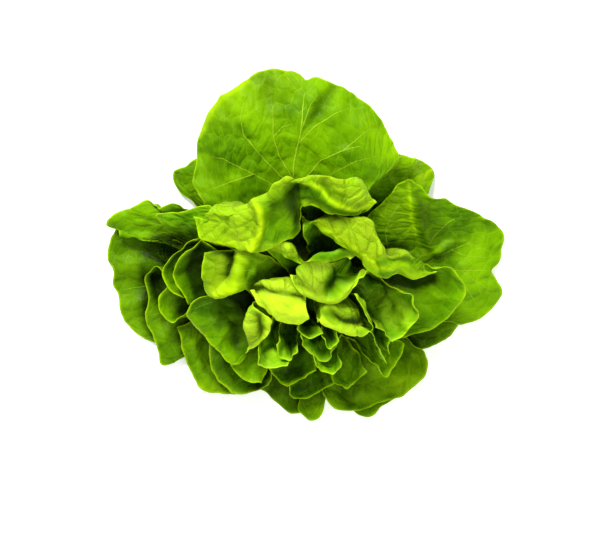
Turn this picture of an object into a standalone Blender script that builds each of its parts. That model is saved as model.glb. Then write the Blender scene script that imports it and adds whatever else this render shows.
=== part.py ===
"""A head of butterhead lettuce, cut at the root and lying on its side on a table.

Each leaf is its own thin solid. It springs from the stem and runs out along a few ribs to the
places where its margin comes to rest, and then all the leaves are bent clear of one another,
inner leaf above outer leaf, the way a real rosette packs itself.
"""

import math
from collections import namedtuple

import bpy
import numpy as np
from mathutils.bvhtree import BVHTree

# Sizes are in millimetres up to the last step, which scales the meshes to metres.
METRES_PER_MM = 0.001

# The head lies tilted: its axis climbs from the cut butt towards the front and a little right.
AXIS_CLIMB = math.radians(50)
HEAD_YAW = math.radians(18)
BUTT_RADIUS = 13.0
BUTT_CHAMFER = 1.0
STEM_LENGTH = 54.0
STEM_TAPER = 0.6
STEM_SIDES = 16
STEM_RINGS = [0.0, 1.0, 8.0, 18.0, 28.0, 37.0, 44.0, 49.0, 52.0, 53.4]

# The flat spot that the head rests on, under the stem's front edge. It is the part's origin.
REST_X = 10.5
REST_Y = -29.5
REST_LEAF = "outer_leaf_front_right_low"
REST_ROWS = 1, 2
REST_COLUMNS = 0, 1, 2, 3, 4

BLADE_THICKNESS = 0.85
KEEL_WIDTH = 0.26
LEAF_GAP = 0.8
STEM_GAP = 0.8
TABLE_GAP = 0.1

# Leaves are set up the stem in this order, and each starts steeper than the one below it.
LOWEST_BASE = 3.0
BASE_SPACING = 2.5
LOWEST_RISE = math.radians(4)
HIGHEST_RISE = math.radians(62)
RISE_CURVE = 0.8
BASE_STRAIGHT = 60.0
SAMPLES_ON_RIB = 60

AXIS = np.array([
    math.sin(HEAD_YAW) * math.cos(AXIS_CLIMB),
    -math.cos(HEAD_YAW) * math.cos(AXIS_CLIMB),
    math.sin(AXIS_CLIMB),
])
SIDE = np.array([math.cos(HEAD_YAW), math.sin(HEAD_YAW), 0.0])
BACK = np.cross(AXIS, SIDE)
UP = np.array([0.0, 0.0, 1.0])
BUTT = np.array([0.0, 0.0, BUTT_RADIUS * math.cos(AXIS_CLIMB)])

Rib = namedtuple("Rib", "crest tip slope")
Leaf = namedtuple("Leaf", "name toward spread rows columns keel ribs")


def tip(x, y, z, slope):
    """A rib that ends at (x, y, z), where it heads outwards and up by slope degrees."""
    return Rib(None, (x, y, z), slope)


def over(crest, end):
    """A rib that climbs to crest and folds over to end."""
    return Rib(crest, end, None)


def large(name, toward, *ribs):
    return Leaf(name, toward, 24, 9, 11, 0.9, ribs)


def medium(name, toward, *ribs):
    return Leaf(name, toward, 24, 8, 8, 0.5, ribs)


def small(name, toward, *ribs):
    return Leaf(name, toward, 30, 7, 6, 0.2, ribs)


# From the outermost leaf to the innermost. "toward" is the side of the stem that a leaf grows
# from, in degrees counterclockwise seen from the heart, and its ribs run the same way round.
LEAVES = [
    medium(
        "outer_leaf_back_left", 136,
        tip(-58, 78, 30, -30), tip(-71, 71, 14, -35), tip(-88, 60, 1.5, -10),
        tip(-81, 49, 4, -10), tip(-65, 35, 18, -10),
    ),
    medium(
        "outer_leaf_back_right", 20,
        tip(75, 33, 30, -20), tip(92, 57, 8, -35), tip(93, 66, 3, -30),
        tip(80, 73, 15, -35), tip(61, 78, 34, -20),
    ),
    medium(
        "outer_leaf_front_right_low", 284,
        tip(33, -97, 1, 0), tip(42, -106, 1, 0), tip(49, -109, 1, 0),
        tip(61, -100, 1, 0), tip(75, -90, 1, 0),
    ),
    medium(
        "outer_leaf_right_low", 322,
        tip(82, -63, 2, 0), tip(101, -55, 1.5, 0), tip(111, -48, 2, 0), tip(115, -30, 6, 0),
    ),
    medium(
        "outer_leaf_front", 240,
        tip(-37, -88, 2, 0), tip(-25, -90, 2, 0), tip(-15, -98, 2, 0),
        tip(-4, -106, 2, 0), tip(3, -106, 2, 0), tip(10, -97, 2, 0),
    ),
    large(
        "outer_leaf_left", 171,
        tip(-125, 28, 8, -10), tip(-133, 12, 3, -10), tip(-133, 4, 1.5, -10),
        tip(-129, -3, 5, -10), tip(-130, -13, 1.5, -10), tip(-125, -24, 1.5, -5),
        tip(-123, -36, 1.5, -5), tip(-116, -48, 1.5, 0), tip(-106, -55, 2, 5), tip(-97, -58, 3, 5),
    ),
    medium(
        "outer_leaf_front_tip", 254,
        tip(1, -95, 9, 5), tip(4, -109, 6, 5), tip(8, -111, 5, 5),
        tip(13, -110, 6, 5), tip(21, -88, 9, 5),
    ),
    large(
        "outer_leaf_front_right", 296,
        tip(17, -92, 12, 10), tip(21, -101, 8, 10), tip(33, -105, 6, 10), tip(47, -102, 6, 10),
        tip(59, -99, 6, 10), tip(75, -92, 7, 10), tip(86, -82, 8, 10), tip(91, -70, 10, 10),
        tip(82, -59, 15, 10),
    ),
    large(
        "outer_leaf_left_curled", 180,
        tip(-92, -8, 25, 45), tip(-98, -2, 24, 60), tip(-103, -4, 21, 60), tip(-106, -13, 16, 30),
        tip(-104, -22, 13, 10), tip(-106, -39, 10, 5), tip(-99, -57, 6, 5), tip(-95, -71, 5, 5),
        tip(-88, -71, 5, 5), tip(-78, -65, 7, 5),
    ),
    large(
        "outer_leaf_front_left", 200,
        tip(-84, -46, 18, 15), tip(-80, -62, 11, 10), tip(-72, -80, 8, 10),
        tip(-66, -90, 7, 10), tip(-58, -92, 7, 10), tip(-43, -92, 8, 10),
    ),
    large(
        "outer_leaf_right", 345,
        tip(99, -42, 15, -10), tip(120, -44, 6, -15), tip(136, -35, 2, -20),
        tip(143, -21, 1.5, -20), tip(139, -6, 5, -20), tip(143, 10, 2, -25),
        tip(139, 24, 5, -25), tip(126, 32, 16, -20), tip(106, 41, 26, -15),
        tip(91, 48, 38, 0), tip(78, 57, 48, 30),
    ),
    large(
        "outer_leaf_back", 76,
        tip(52, 55, 58, -15), tip(69, 71, 56, -30), tip(56, 99, 60, -30), tip(36, 119, 60, -30),
        tip(14, 127, 60, -30), tip(-20, 133, 58, -30), tip(-46, 120, 54, -30),
        tip(-66, 99, 48, -30), tip(-71, 75, 44, -25), tip(-66, 39, 46, -10),
    ),
    large(
        "middle_leaf_far_left", 140,
        tip(-77, 37, 40, -10), tip(-87, 41, 36, -15), tip(-97, 38, 32, -15),
        tip(-106, 43, 26, -20), tip(-113, 39, 22, -20), tip(-124, 35, 16, -20),
        tip(-135, 24, 12, -20), tip(-121, 21, 15, -20), tip(-104, 14, 20, -15),
        tip(-84, 14, 25, -10),
    ),
    medium(
        "middle_leaf_front_left", 207,
        tip(-62, -57, 30, 25), tip(-61, -74, 20, 20), tip(-54, -85, 14, 20),
        tip(-44, -92, 12, 20), tip(-34, -92, 12, 20), tip(-21, -86, 16, 20),
    ),
    medium(
        "middle_leaf_left_band", 128,
        tip(-62, 39, 54, -5), tip(-71, 38, 52, -10), tip(-88, 34, 46, -15),
        tip(-99, 34, 42, -15), tip(-90, 25, 38, -10), tip(-72, 21, 38, -5),
    ),
    medium(
        "middle_leaf_left_cup", 165,
        tip(-90, -16, 40, 45), tip(-97, -24, 36, 50), tip(-97, -34, 30, 45),
        tip(-89, -41, 26, 40), tip(-78, -36, 32, 30),
    ),
    medium(
        "middle_leaf_left_hollow", 147,
        tip(-66, 18, 58, 30), tip(-77, 13, 55, 40), tip(-88, 3, 50, 45), tip(-93, -7, 46, 50),
        tip(-90, -19, 43, 45), tip(-80, -26, 43, 40),
    ),
    medium(
        "middle_leaf_left_inner", 147,
        tip(-67, 14, 64, 30), tip(-78, 7, 61, 45), tip(-85, -3, 57, 50), tip(-84, -13, 54, 50),
        tip(-79, -23, 51, 45), tip(-75, -29, 49, 40),
    ),
    medium(
        "middle_leaf_right", 346,
        tip(73, -54, 32, 10), tip(92, -46, 28, 5), tip(106, -37, 28, 5), tip(115, -24, 34, 10),
        tip(117, -15, 40, 20), tip(108, -6, 48, 30), tip(94, -4, 56, 30),
    ),
    large(
        "middle_leaf_back_wave", 86,
        tip(57, 47, 96, -10),
        over((45, 53, 104), (43, 37, 96)),
        over((29, 55, 110), (31, 34, 94)),
        over((14, 57, 114), (17, 36, 99)),
        over((1, 59, 116), (2, 38, 100)),
        over((-10, 57, 114), (-4, 18, 84)),
        over((-22, 50, 110), (-20, 15, 90)),
        over((-32, 41, 106), (-34, 6, 88)),
        over((-49, 40, 100), (-48, 14, 86)),
        over((-64, 39, 92), (-66, 15, 82)),
        tip(-73, 33, 86, -20),
    ),
    medium(
        "middle_leaf_front_dark", 206,
        tip(-46, -63, 44, 25), tip(-43, -76, 34, 20), tip(-36, -83, 26, 20), tip(-25, -85, 22, 20),
    ),
    medium(
        "middle_leaf_front_edge", 250,
        tip(-7, -85, 26, 20), tip(-4, -94, 18, 15), tip(8, -94, 18, 15), tip(17, -90, 20, 15),
        tip(25, -85, 24, 20),
    ),
    medium(
        "middle_leaf_front_point", 282,
        tip(25, -84, 30, 20), tip(34, -89, 24, 15), tip(41, -83, 28, 20), tip(48, -76, 36, 30),
    ),
    medium(
        "middle_leaf_right_point", 308,
        tip(46, -63, 44, 20), tip(55, -73, 36, 20), tip(63, -80, 28, 15), tip(69, -70, 34, 20),
        tip(73, -58, 42, 25),
    ),
    medium(
        "middle_leaf_front_lip", 230,
        tip(-21, -73, 40, 20), tip(-16, -79, 34, 15), tip(-8, -87, 30, 20), tip(3, -83, 34, 40),
        tip(14, -77, 40, 50),
    ),
    large(
        "middle_leaf_right_fold", 42,
        tip(97, -6, 66, 0),
        over((84, 2, 76), (81, -9, 66)),
        over((67, 3, 84), (67, -10, 70)),
        over((56, 27, 94), (53, -4, 76)),
        over((38, 30, 98), (36, 9, 82)),
        over((20, 31, 94), (20, 21, 86)),
        tip(5, 33, 86, -30),
    ),
    large(
        "middle_leaf_left_front", 150,
        tip(-8, -7, 70, 30), tip(-21, -10, 67, 35), tip(-37, -17, 63, 30), tip(-58, -21, 57, 15),
        tip(-74, -26, 55, 0), tip(-80, -34, 50, -10), tip(-71, -46, 44, -10),
        tip(-60, -57, 39, -10), tip(-48, -67, 35, -10), tip(-39, -60, 34, -5),
        tip(-36, -49, 37, 0),
    ),
    medium(
        "middle_leaf_left_fold", 124,
        over((-36, 13, 80), (-66, 11, 70)),
        over((-43, 1, 80), (-67, -4, 68)),
        over((-49, -11, 77), (-64, -18, 65)),
        tip(-57, -25, 69, -20),
    ),
    medium(
        "heart_leaf_back", 83,
        tip(38, 10, 86, 45), tip(26, 9, 84, 50), tip(14, 7, 84, 50), tip(3, 3, 84, 70),
        over((-4, 13, 90), (-5, 4, 84)),
        over((-13, 15, 90), (-13, 10, 84)),
        tip(-25, 15, 80, 0),
    ),
    large(
        "heart_leaf_right_cup", 36,
        tip(67, -55, 56, 20), tip(77, -48, 58, 20), tip(84, -32, 66, 45), tip(78, -20, 74, 70),
        tip(66, -13, 82, 90), tip(52, -4, 90, 110), tip(41, -8, 92, 140),
        over((27, -4, 96), (28, -23, 84)),
        over((12, -4, 94), (12, -22, 82)),
        over((-1, -5, 90), (1, -15, 82)),
        tip(-7, -7, 84, 0),
    ),
    small(
        "heart_leaf_right_ring", 340,
        tip(64, -63, 52, 40), tip(64, -53, 60, 60), tip(60, -46, 68, 80), tip(55, -45, 70, 100),
    ),
    medium(
        "heart_leaf_right_edge", 5,
        tip(63, -69, 50, 60), tip(52, -51, 66, 100), tip(50, -42, 74, 130),
        tip(45, -32, 82, 150), tip(38, -22, 86, 150),
    ),
    medium(
        "heart_leaf_bright", 118,
        over((3, -24, 91), (4, -38, 84)),
        over((-6, -21, 92), (-1, -42, 84)),
        over((-18, -20, 90), (-14, -39, 80)),
        over((-29, -18, 84), (-25, -31, 76)),
        tip(-35, -21, 79, -20),
    ),
    small(
        "heart_leaf_lip", 53,
        tip(49, -41, 76, 100),
        over((38, -35, 84), (36, -46, 80)),
        over((28, -32, 88), (28, -45, 83)),
        over((17, -29, 90), (17, -41, 85)),
        tip(11, -35, 88, 160),
    ),
    small(
        "heart_leaf_left_strip", 186,
        over((-28, -33, 71), (-18, -39, 68)),
        over((-34, -40, 68), (-20, -48, 63)),
        over((-36, -49, 63), (-25, -55, 58)),
        tip(-36, -60, 54, 20),
    ),
    small(
        "heart_leaf_front_left", 206,
        tip(-34, -62, 63, 25), tip(-34, -71, 56, 20), tip(-22, -74, 55, 20), tip(-10, -72, 57, 30),
    ),
    small(
        "heart_leaf_front_right", 279,
        tip(21, -63, 66, 40), tip(23, -71, 58, 30), tip(27, -76, 52, 25), tip(32, -69, 60, 40),
    ),
    small(
        "heart_leaf_small_left", 205,
        tip(-15, -59, 64, 45), tip(-12, -67, 56, 30), tip(-5, -68, 56, 30), tip(-1, -62, 62, 45),
    ),
    small(
        "heart_leaf_front", 239,
        tip(-1, -59, 66, 40), tip(3, -69, 56, 30), tip(11, -77, 48, 20), tip(19, -67, 58, 30),
        tip(24, -56, 68, 50),
    ),
    small(
        "heart_leaf_right_small", 345,
        tip(29, -54, 76, 50), tip(37, -62, 68, 45), tip(45, -57, 70, 50), tip(49, -49, 74, 60),
    ),
    small(
        "heart_leaf_cup", 210,
        tip(-4, -46, 75, 60), tip(-4, -53, 71, 50), tip(2, -57, 69, 45), tip(13, -54, 72, 50),
    ),
]


def head_place(azimuth, radius, height):
    """The point at this azimuth, distance from the stem's axis and height along it."""
    outwards = math.cos(azimuth) * SIDE + math.sin(azimuth) * BACK
    return BUTT + radius * outwards + height * AXIS


def stem_radius(height):
    """The stem's radius at a height along it: a rounded taper from the butt to the growing tip."""
    return BUTT_RADIUS * (1 - (height / STEM_LENGTH) ** 2) ** STEM_TAPER


def base_heights():
    """How far up the stem each leaf starts, clear of every earlier leaf that it stands over."""
    heights = []
    for number, leaf in enumerate(LEAVES):
        height = LOWEST_BASE
        for other, below in zip(LEAVES[:number], heights):
            apart = abs((leaf.toward - other.toward + 180) % 360 - 180)
            if apart < leaf.spread + other.spread:
                height = max(height, below + BASE_SPACING)
        heights.append(height)
    return heights


def curve_through(points, knots, wanted, first=None, last=None):
    """Reads a smooth curve through the points, which it passes at the knots."""
    slopes = np.gradient(points, knots, axis=0)
    if first is not None:
        slopes[0] = first
    if last is not None:
        slopes[-1] = last
    span = np.clip(np.searchsorted(knots, wanted, side="right") - 1, 0, len(knots) - 2)
    length = (knots[span + 1] - knots[span])[:, None]
    t = (wanted - knots[span])[:, None] / length
    return (
        (2 * t**3 - 3 * t**2 + 1) * points[span]
        + (t**3 - 2 * t**2 + t) * length * slopes[span]
        + (3 * t**2 - 2 * t**3) * points[span + 1]
        + (t**3 - t**2) * length * slopes[span + 1]
    )


def lengths_along(points):
    return np.concatenate([[0.0], np.cumsum(np.linalg.norm(np.diff(points, axis=0), axis=1))])


def rib_points(rib, azimuth, height, rise, rows):
    """Evenly spaced points on one rib, from the stem to the margin."""
    base = head_place(azimuth, stem_radius(height) + STEM_GAP, height)
    table_tilt = math.atan(-math.sin(azimuth) * math.cos(AXIS_CLIMB) / math.sin(AXIS_CLIMB))
    lifted = rise + max(0.0, table_tilt) * (1 - rise / (math.pi / 2))
    outwards = math.cos(azimuth) * SIDE + math.sin(azimuth) * BACK
    start = math.cos(lifted) * outwards + math.sin(lifted) * AXIS
    start *= min(1.0, BASE_STRAIGHT / np.linalg.norm(np.array(rib.tip) - base))
    places = [base] + ([np.array(rib.crest, float)] if rib.crest else [])
    places = np.array(places + [np.array(rib.tip, float)])
    last = None
    if rib.slope is not None:
        flat = (places[-1] - base) * (1, 1, 0)
        slope = math.radians(rib.slope)
        last = math.cos(slope) * flat / np.linalg.norm(flat) + math.sin(slope) * UP
    knots = lengths_along(places)
    fine = curve_through(places, knots, np.linspace(0, knots[-1], SAMPLES_ON_RIB), start, last)
    along = lengths_along(fine)
    wanted = np.linspace(0, along[-1], rows + 1)
    return np.stack([np.interp(wanted, along, fine[:, k]) for k in range(3)], axis=1)


def leaf_surface(leaf, height):
    """The leaf's middle surface as a grid of points, rows out from the stem and columns across."""
    share_up = (height / STEM_LENGTH) ** RISE_CURVE
    rise = LOWEST_RISE + (HIGHEST_RISE - LOWEST_RISE) * share_up
    margin = lengths_along(np.array([rib.tip for rib in leaf.ribs], float))
    shares = margin / margin[-1]
    ribs = []
    for rib, share in zip(leaf.ribs, shares):
        azimuth = math.radians(leaf.toward + (2 * share - 1) * leaf.spread)
        ribs.append(rib_points(rib, azimuth, height, rise, leaf.rows))
    wanted = np.linspace(0, 1, leaf.columns + 1)
    across = curve_through(np.array(ribs).reshape(len(ribs), -1), shares, wanted)
    return across.reshape(leaf.columns + 1, leaf.rows + 1, 3).transpose(1, 0, 2)


def grid_triangles(rows, columns):
    """Triangles of a grid of points, wound to face the heart."""
    index = np.arange((rows + 1) * (columns + 1)).reshape(rows + 1, columns + 1)
    a, b = index[:-1, :-1].ravel(), index[1:, :-1].ravel()
    c, d = index[1:, 1:].ravel(), index[:-1, 1:].ravel()
    return np.concatenate([np.stack([a, b, c], 1), np.stack([a, c, d], 1)])


def grid_samples(rows, columns):
    """Pairs of points whose midpoints cover the grid: each point, edge and cell diagonal."""
    index = np.arange((rows + 1) * (columns + 1)).reshape(rows + 1, columns + 1)
    pairs = [
        (index, index),
        (index[:-1], index[1:]),
        (index[:, :-1], index[:, 1:]),
        (index[:-1, :-1], index[1:, 1:]),
    ]
    first = np.concatenate([a.ravel() for a, b in pairs])
    second = np.concatenate([b.ravel() for a, b in pairs])
    return first, second


def point_normals(grid):
    along = np.gradient(grid, axis=0)
    across = np.gradient(grid, axis=1)
    normals = np.cross(along, across)
    return normals / np.linalg.norm(normals, axis=2, keepdims=True)


def leaf_thickness(leaf):
    """Thickness at each grid point: a thin blade, with a thicker midrib that fades outwards."""
    out = np.linspace(0, 1, leaf.rows + 1)[:, None]
    across = np.linspace(-1, 1, leaf.columns + 1)[None, :]
    keel = leaf.keel * (1 - out) ** 1.5 * np.exp(-((across / KEEL_WIDTH) ** 2))
    return BLADE_THICKNESS + keel


# How the leaves are bent clear of one another. Each new leaf is placed over the earlier ones, and
# then all settle together. A bend is a share of the way asked for, up to the most move a round,
# and easing spreads it over the points round it.
PLACING_ROUNDS = 60
PLACING_REACH = 5.0
PLACING_MOST_MOVE = 1.5
PLACING_EASE = 0.5
SETTLING_ROUNDS = 90
SETTLING_REACH = 4.0
SETTLING_MOST_MOVE = 0.5
SETTLING_EASE = 0.25
LAST_ROUNDS_WITHOUT_EASE = 6
EASE_PASSES = 3
SHARE_OF_WAY = 0.8
SECOND_ROW_FREEDOM = 0.7
# A point counts as over a surface when its nearest way there is this close to square on.
SQUARE_ON = 0.86


class Sheet:
    """A leaf's middle surface while it is being bent clear of the others."""

    def __init__(self, order, leaf, grid):
        self.order = order
        self.designed = grid.copy()
        self.grid = grid
        self.triangles = grid_triangles(leaf.rows, leaf.columns)
        self.first, self.second = grid_samples(leaf.rows, leaf.columns)
        self.half = leaf_thickness(leaf).ravel() / 2
        self.refresh()

    def refresh(self):
        self.points = self.grid.reshape(-1, 3)
        self.tree = BVHTree.FromPolygons(
            self.points.tolist(), self.triangles.tolist(), all_triangles=True
        )
        self.spots = (self.points[self.first] + self.points[self.second]) / 2
        self.spot_half = (self.half[self.first] + self.half[self.second]) / 2
        self.move = np.zeros_like(self.points)
        self.weight = np.full(len(self.points), 1e-9)

    def add(self, corners, push):
        size = np.linalg.norm(push, axis=1)
        for corner in corners.T:
            np.add.at(self.move, corner, push * size[:, None])
            np.add.at(self.weight, corner, size)

    def bend(self, most, ease):
        """Moves the points as asked, and spreads each move over the points round it."""
        moved = SHARE_OF_WAY * self.move / self.weight[:, None]
        size = np.linalg.norm(moved, axis=1, keepdims=True)
        moved *= np.minimum(1.0, most / np.maximum(size, 1e-9))
        self.grid += moved.reshape(self.grid.shape) * row_freedom(self.grid)
        shift = self.grid - self.designed
        for _ in range(EASE_PASSES):
            padded = np.pad(shift, ((1, 1), (1, 1), (0, 0)), mode="edge")
            beside = padded[:-2, 1:-1] + padded[2:, 1:-1] + padded[1:-1, :-2] + padded[1:-1, 2:]
            shift += ease * (beside / 4 - shift)
            shift[0] = 0
        self.grid[:] = self.designed + shift
        lowest = self.half.reshape(self.grid.shape[:2]) + TABLE_GAP
        self.grid[..., 2] = np.maximum(self.grid[..., 2], lowest)
        self.refresh()


def press(mover, other, reach, move_mover, move_other):
    """Asks for the moves that bring the mover's surface clear of the other's, on its own side."""
    low = other.points.min(axis=0) - reach / 2
    high = other.points.max(axis=0) + reach / 2
    near = np.nonzero(((mover.spots > low) & (mover.spots < high)).all(axis=1))[0]
    found = [other.tree.find_nearest(spot, reach) for spot in mover.spots[near].tolist()]
    hit = [k for k, result in enumerate(found) if result[2] is not None]
    if not hit:
        return
    near = near[hit]
    place = np.array([found[k][0][:] for k in hit])
    normal = np.array([found[k][1][:] for k in hit])
    corners = other.triangles[[found[k][2] for k in hit]]
    distance = np.array([found[k][3] for k in hit])
    side = 1.0 if mover.order > other.order else -1.0
    wanted = LEAF_GAP + other.half[corners].mean(axis=1) + mover.spot_half[near]
    height = ((mover.spots[near] - place) * normal).sum(axis=1) * side
    facing = (np.abs(height) >= SQUARE_ON * distance) | (distance < wanted)
    moved = facing & (height < wanted)
    push = normal[moved] * (side * (wanted - height)[moved])[:, None]
    if move_mover:
        ends = np.stack([mover.first[near][moved], mover.second[near][moved]], axis=1)
        mover.add(ends, push)
    if move_other:
        other.add(corners[moved], -push)


def bend_clear(grids):
    """Bends the leaves clear of one another, each inner leaf over the outer ones."""
    sheets = []
    for order, (leaf, grid) in enumerate(zip(LEAVES, grids)):
        sheet = Sheet(order, leaf, grid)
        for number in range(PLACING_ROUNDS):
            for placed in sheets:
                press(sheet, placed, PLACING_REACH, True, False)
                press(placed, sheet, PLACING_REACH, False, True)
            sheet.bend(PLACING_MOST_MOVE, PLACING_EASE * (1 - number / PLACING_ROUNDS))
        sheets.append(sheet)
    for number in range(SETTLING_ROUNDS):
        for sheet in sheets:
            for other in sheets:
                if sheet is not other:
                    press(sheet, other, SETTLING_REACH, True, True)
        easing = number < SETTLING_ROUNDS - LAST_ROUNDS_WITHOUT_EASE
        for sheet in sheets:
            sheet.bend(SETTLING_MOST_MOVE, SETTLING_EASE if easing else 0.0)


def row_freedom(grid):
    """The base row stays on the stem, and the next row moves less freely."""
    free = np.ones(grid.shape[0])
    free[0] = 0
    free[1] = SECOND_ROW_FREEDOM
    return free[:, None, None]


def leaf_mesh(leaf, grid):
    """A closed thin solid about the leaf's middle surface."""
    rows, columns = leaf.rows, leaf.columns
    offset = point_normals(grid) * leaf_thickness(leaf)[..., None] / 2
    upper = (grid + offset).reshape(-1, 3)
    lower = (grid - offset).reshape(-1, 3)
    count = len(upper)
    faces = grid_triangles(rows, columns)
    index = np.arange(count).reshape(rows + 1, columns + 1)
    edge = np.concatenate([index[:-1, 0], index[-1, :-1], index[:0:-1, -1], index[0, :0:-1]])
    after = np.roll(edge, -1)
    rim = np.concatenate([
        np.stack([edge, edge + count, after + count], 1),
        np.stack([edge, after + count, after], 1),
    ])
    faces = np.concatenate([faces, faces[:, ::-1] + count, rim])
    if leaf.name == REST_LEAF:
        lower[index[np.ix_(REST_ROWS, REST_COLUMNS)], 2] = 0.0
    return np.concatenate([upper, lower]), faces


def stem_mesh():
    """The stem: rings along its axis, closed by the cut butt and a rounded growing tip."""
    sides = STEM_SIDES
    rings = []
    for height in STEM_RINGS:
        radius = stem_radius(height) - (BUTT_CHAMFER if height == 0.0 else 0.0)
        rings.append([head_place(2 * math.pi * k / sides, radius, height) for k in range(sides)])
    points = [point for ring in rings for point in ring]
    faces = []
    for ring in range(len(rings) - 1):
        for k in range(sides):
            a, b = ring * sides + k, ring * sides + (k + 1) % sides
            faces += [(a, b, b + sides), (a, b + sides, a + sides)]
    top = len(points) - sides
    for k in range(1, sides - 1):
        faces.append((0, k + 1, k))
        faces.append((top, top + k, top + k + 1))
    return np.array(points), np.array(faces)


def make_object(name, points, faces, material):
    """A smooth shaded mesh object with its origin at the part's origin, in metres."""
    mesh = bpy.data.meshes.new(name)
    placed = (points - (REST_X, REST_Y, 0)) * METRES_PER_MM
    mesh.from_pydata(placed.tolist(), [], faces.tolist())
    mesh.materials.append(material)
    mesh.shade_smooth()
    mesh.set_sharp_from_angle(angle=math.radians(50))
    made = bpy.data.objects.new(name, mesh)
    bpy.context.scene.collection.objects.link(made)
    return made


def make_material(name, colour, roughness):
    material = bpy.data.materials.new(name)
    material.use_nodes = True
    shader = material.node_tree.nodes["Principled BSDF"]
    shader.inputs["Base Color"].default_value = (*colour, 1)
    shader.inputs["Roughness"].default_value = roughness
    shader.inputs["Metallic"].default_value = 0
    return material


OUTER_GREEN = (0.10, 0.24, 0.01)
MIDDLE_GREEN = (0.22, 0.45, 0.01)
HEART_GREEN = (0.42, 0.62, 0.03)
STEM_CREAM = (0.75, 0.78, 0.50)


def build():
    for old in list(bpy.data.objects):
        bpy.data.objects.remove(old)
    grids = [leaf_surface(leaf, height) for leaf, height in zip(LEAVES, base_heights())]
    bend_clear(grids)
    materials = {
        "outer": make_material("outer_leaf_green", OUTER_GREEN, 0.45),
        "middle": make_material("middle_leaf_green", MIDDLE_GREEN, 0.42),
        "heart": make_material("heart_leaf_green", HEART_GREEN, 0.4),
    }
    for leaf, grid in zip(LEAVES, grids):
        points, faces = leaf_mesh(leaf, grid)
        make_object(leaf.name, points, faces, materials[leaf.name.split("_")[0]])
    points, faces = stem_mesh()
    make_object("stem", points, faces, make_material("stem_cream", STEM_CREAM, 0.6))


build()
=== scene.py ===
# %% [markdown]
# # A head of butterhead lettuce
# This lesson dresses a finished CAD model of a lettuce. Every leaf of the model is a plain bent
# sheet with flat facets. We read each sheet back as a grid of points, resample it finely, add
# the soft waves of a real leaf, grow its veins with Geometry Nodes, and paint it with node
# materials. First the imported model is loaded.

# %% Load the imported lettuce
import math
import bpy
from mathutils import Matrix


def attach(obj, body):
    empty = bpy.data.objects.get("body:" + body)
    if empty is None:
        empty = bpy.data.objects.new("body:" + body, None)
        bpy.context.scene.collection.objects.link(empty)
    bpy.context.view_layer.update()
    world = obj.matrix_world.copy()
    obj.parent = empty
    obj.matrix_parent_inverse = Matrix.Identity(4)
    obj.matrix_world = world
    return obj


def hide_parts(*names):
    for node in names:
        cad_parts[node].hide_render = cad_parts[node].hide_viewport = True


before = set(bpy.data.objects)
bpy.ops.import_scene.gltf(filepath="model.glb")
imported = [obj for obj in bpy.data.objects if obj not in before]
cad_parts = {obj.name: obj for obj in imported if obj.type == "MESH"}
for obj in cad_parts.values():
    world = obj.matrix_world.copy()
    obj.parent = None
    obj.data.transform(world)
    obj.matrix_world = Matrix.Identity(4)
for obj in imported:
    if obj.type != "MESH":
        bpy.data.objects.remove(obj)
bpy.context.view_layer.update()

import zlib

import bpy
import numpy as np
from mathutils import Vector, kdtree, noise
from mathutils.bvhtree import BVHTree

METRES_PER_MM = 0.001
leaf_names = sorted(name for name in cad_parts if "leaf" in name)
print("leaves in the frame:", len(leaf_names))

# %% [markdown]
# The photograph was taken from straight above. A long lens far away shows the head without
# much perspective, so the camera hangs six metres up, and the lens is chosen so that the
# frame spans 420 mm of table. The point under the camera is the middle of the photograph.

# %% Hang the camera above the table
MM_PER_PIXEL = 0.70
IMAGE_WIDTH = 600
CAMERA_HEIGHT = 6.0
CAMERA_SEES_AS_FAR_AS = 100
VIEW_CENTRE_MM = (-9.1, 24.25)


def placed(name, data):
    """A new object with this data, linked to the scene."""
    item = bpy.data.objects.new(name, data)
    bpy.context.scene.collection.objects.link(item)
    return item


camera_data = bpy.data.cameras.new("overhead_camera")
camera = placed("overhead_camera", camera_data)
camera.location = (*(v * METRES_PER_MM for v in VIEW_CENTRE_MM), CAMERA_HEIGHT)
frame_width = IMAGE_WIDTH * MM_PER_PIXEL * METRES_PER_MM
camera_data.lens = camera_data.sensor_width * CAMERA_HEIGHT / frame_width
camera_data.clip_end = CAMERA_SEES_AS_FAR_AS
bpy.context.scene.camera = camera
print("lens in mm:", round(camera_data.lens))

# %% [markdown]
# The head lies on a plain white table, which is one large square. A little glow of its own
# keeps the white from turning grey round the head. The helper that makes a material sets what
# is the same all over the surface on the shader itself, and every later material uses it.

# %% Make the white table top
TABLE_HALF = 3.0


def new_material(name, **same_all_over):
    """A material, its node tree and its shader, with these shader values set."""
    material = bpy.data.materials.new(name)
    material.use_nodes = True
    shader = material.node_tree.nodes["Principled BSDF"]
    for label, value in same_all_over.items():
        shader.inputs[label.replace("_", " ")].default_value = value
    return material, material.node_tree, shader


white_table, _, _ = new_material(
    "white_table", Base_Color=(0.9, 0.9, 0.9, 1), Roughness=0.8, Specular_IOR_Level=0.1,
    Emission_Color=(1, 1, 1, 1), Emission_Strength=0.35,
)
table_mesh = bpy.data.meshes.new("table_top")
table_corners = [(x * TABLE_HALF, y * TABLE_HALF, 0) for x, y in ((-1, -1), (1, -1), (1, 1), (-1, 1))]
table_mesh.from_pydata(table_corners, [], [(0, 1, 2, 3)])
table_mesh.materials.append(white_table)
floor = placed("table_top", table_mesh)
print("table is", 2 * TABLE_HALF, "metres wide")

# %% [markdown]
# One big soft lamp stands behind the head and a little to the left, since the folds at the
# back are the brightest in the photograph. A weaker lamp fills from the front, and a white
# sky softens all the rest. The plain view with some contrast keeps the greens as vivid as
# they are in the photograph.

# %% Hang the lamps and light the sky
LAMPS_AIM_AT = (0, 0, 0.05)
SKY_STRENGTH = 0.4


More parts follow.
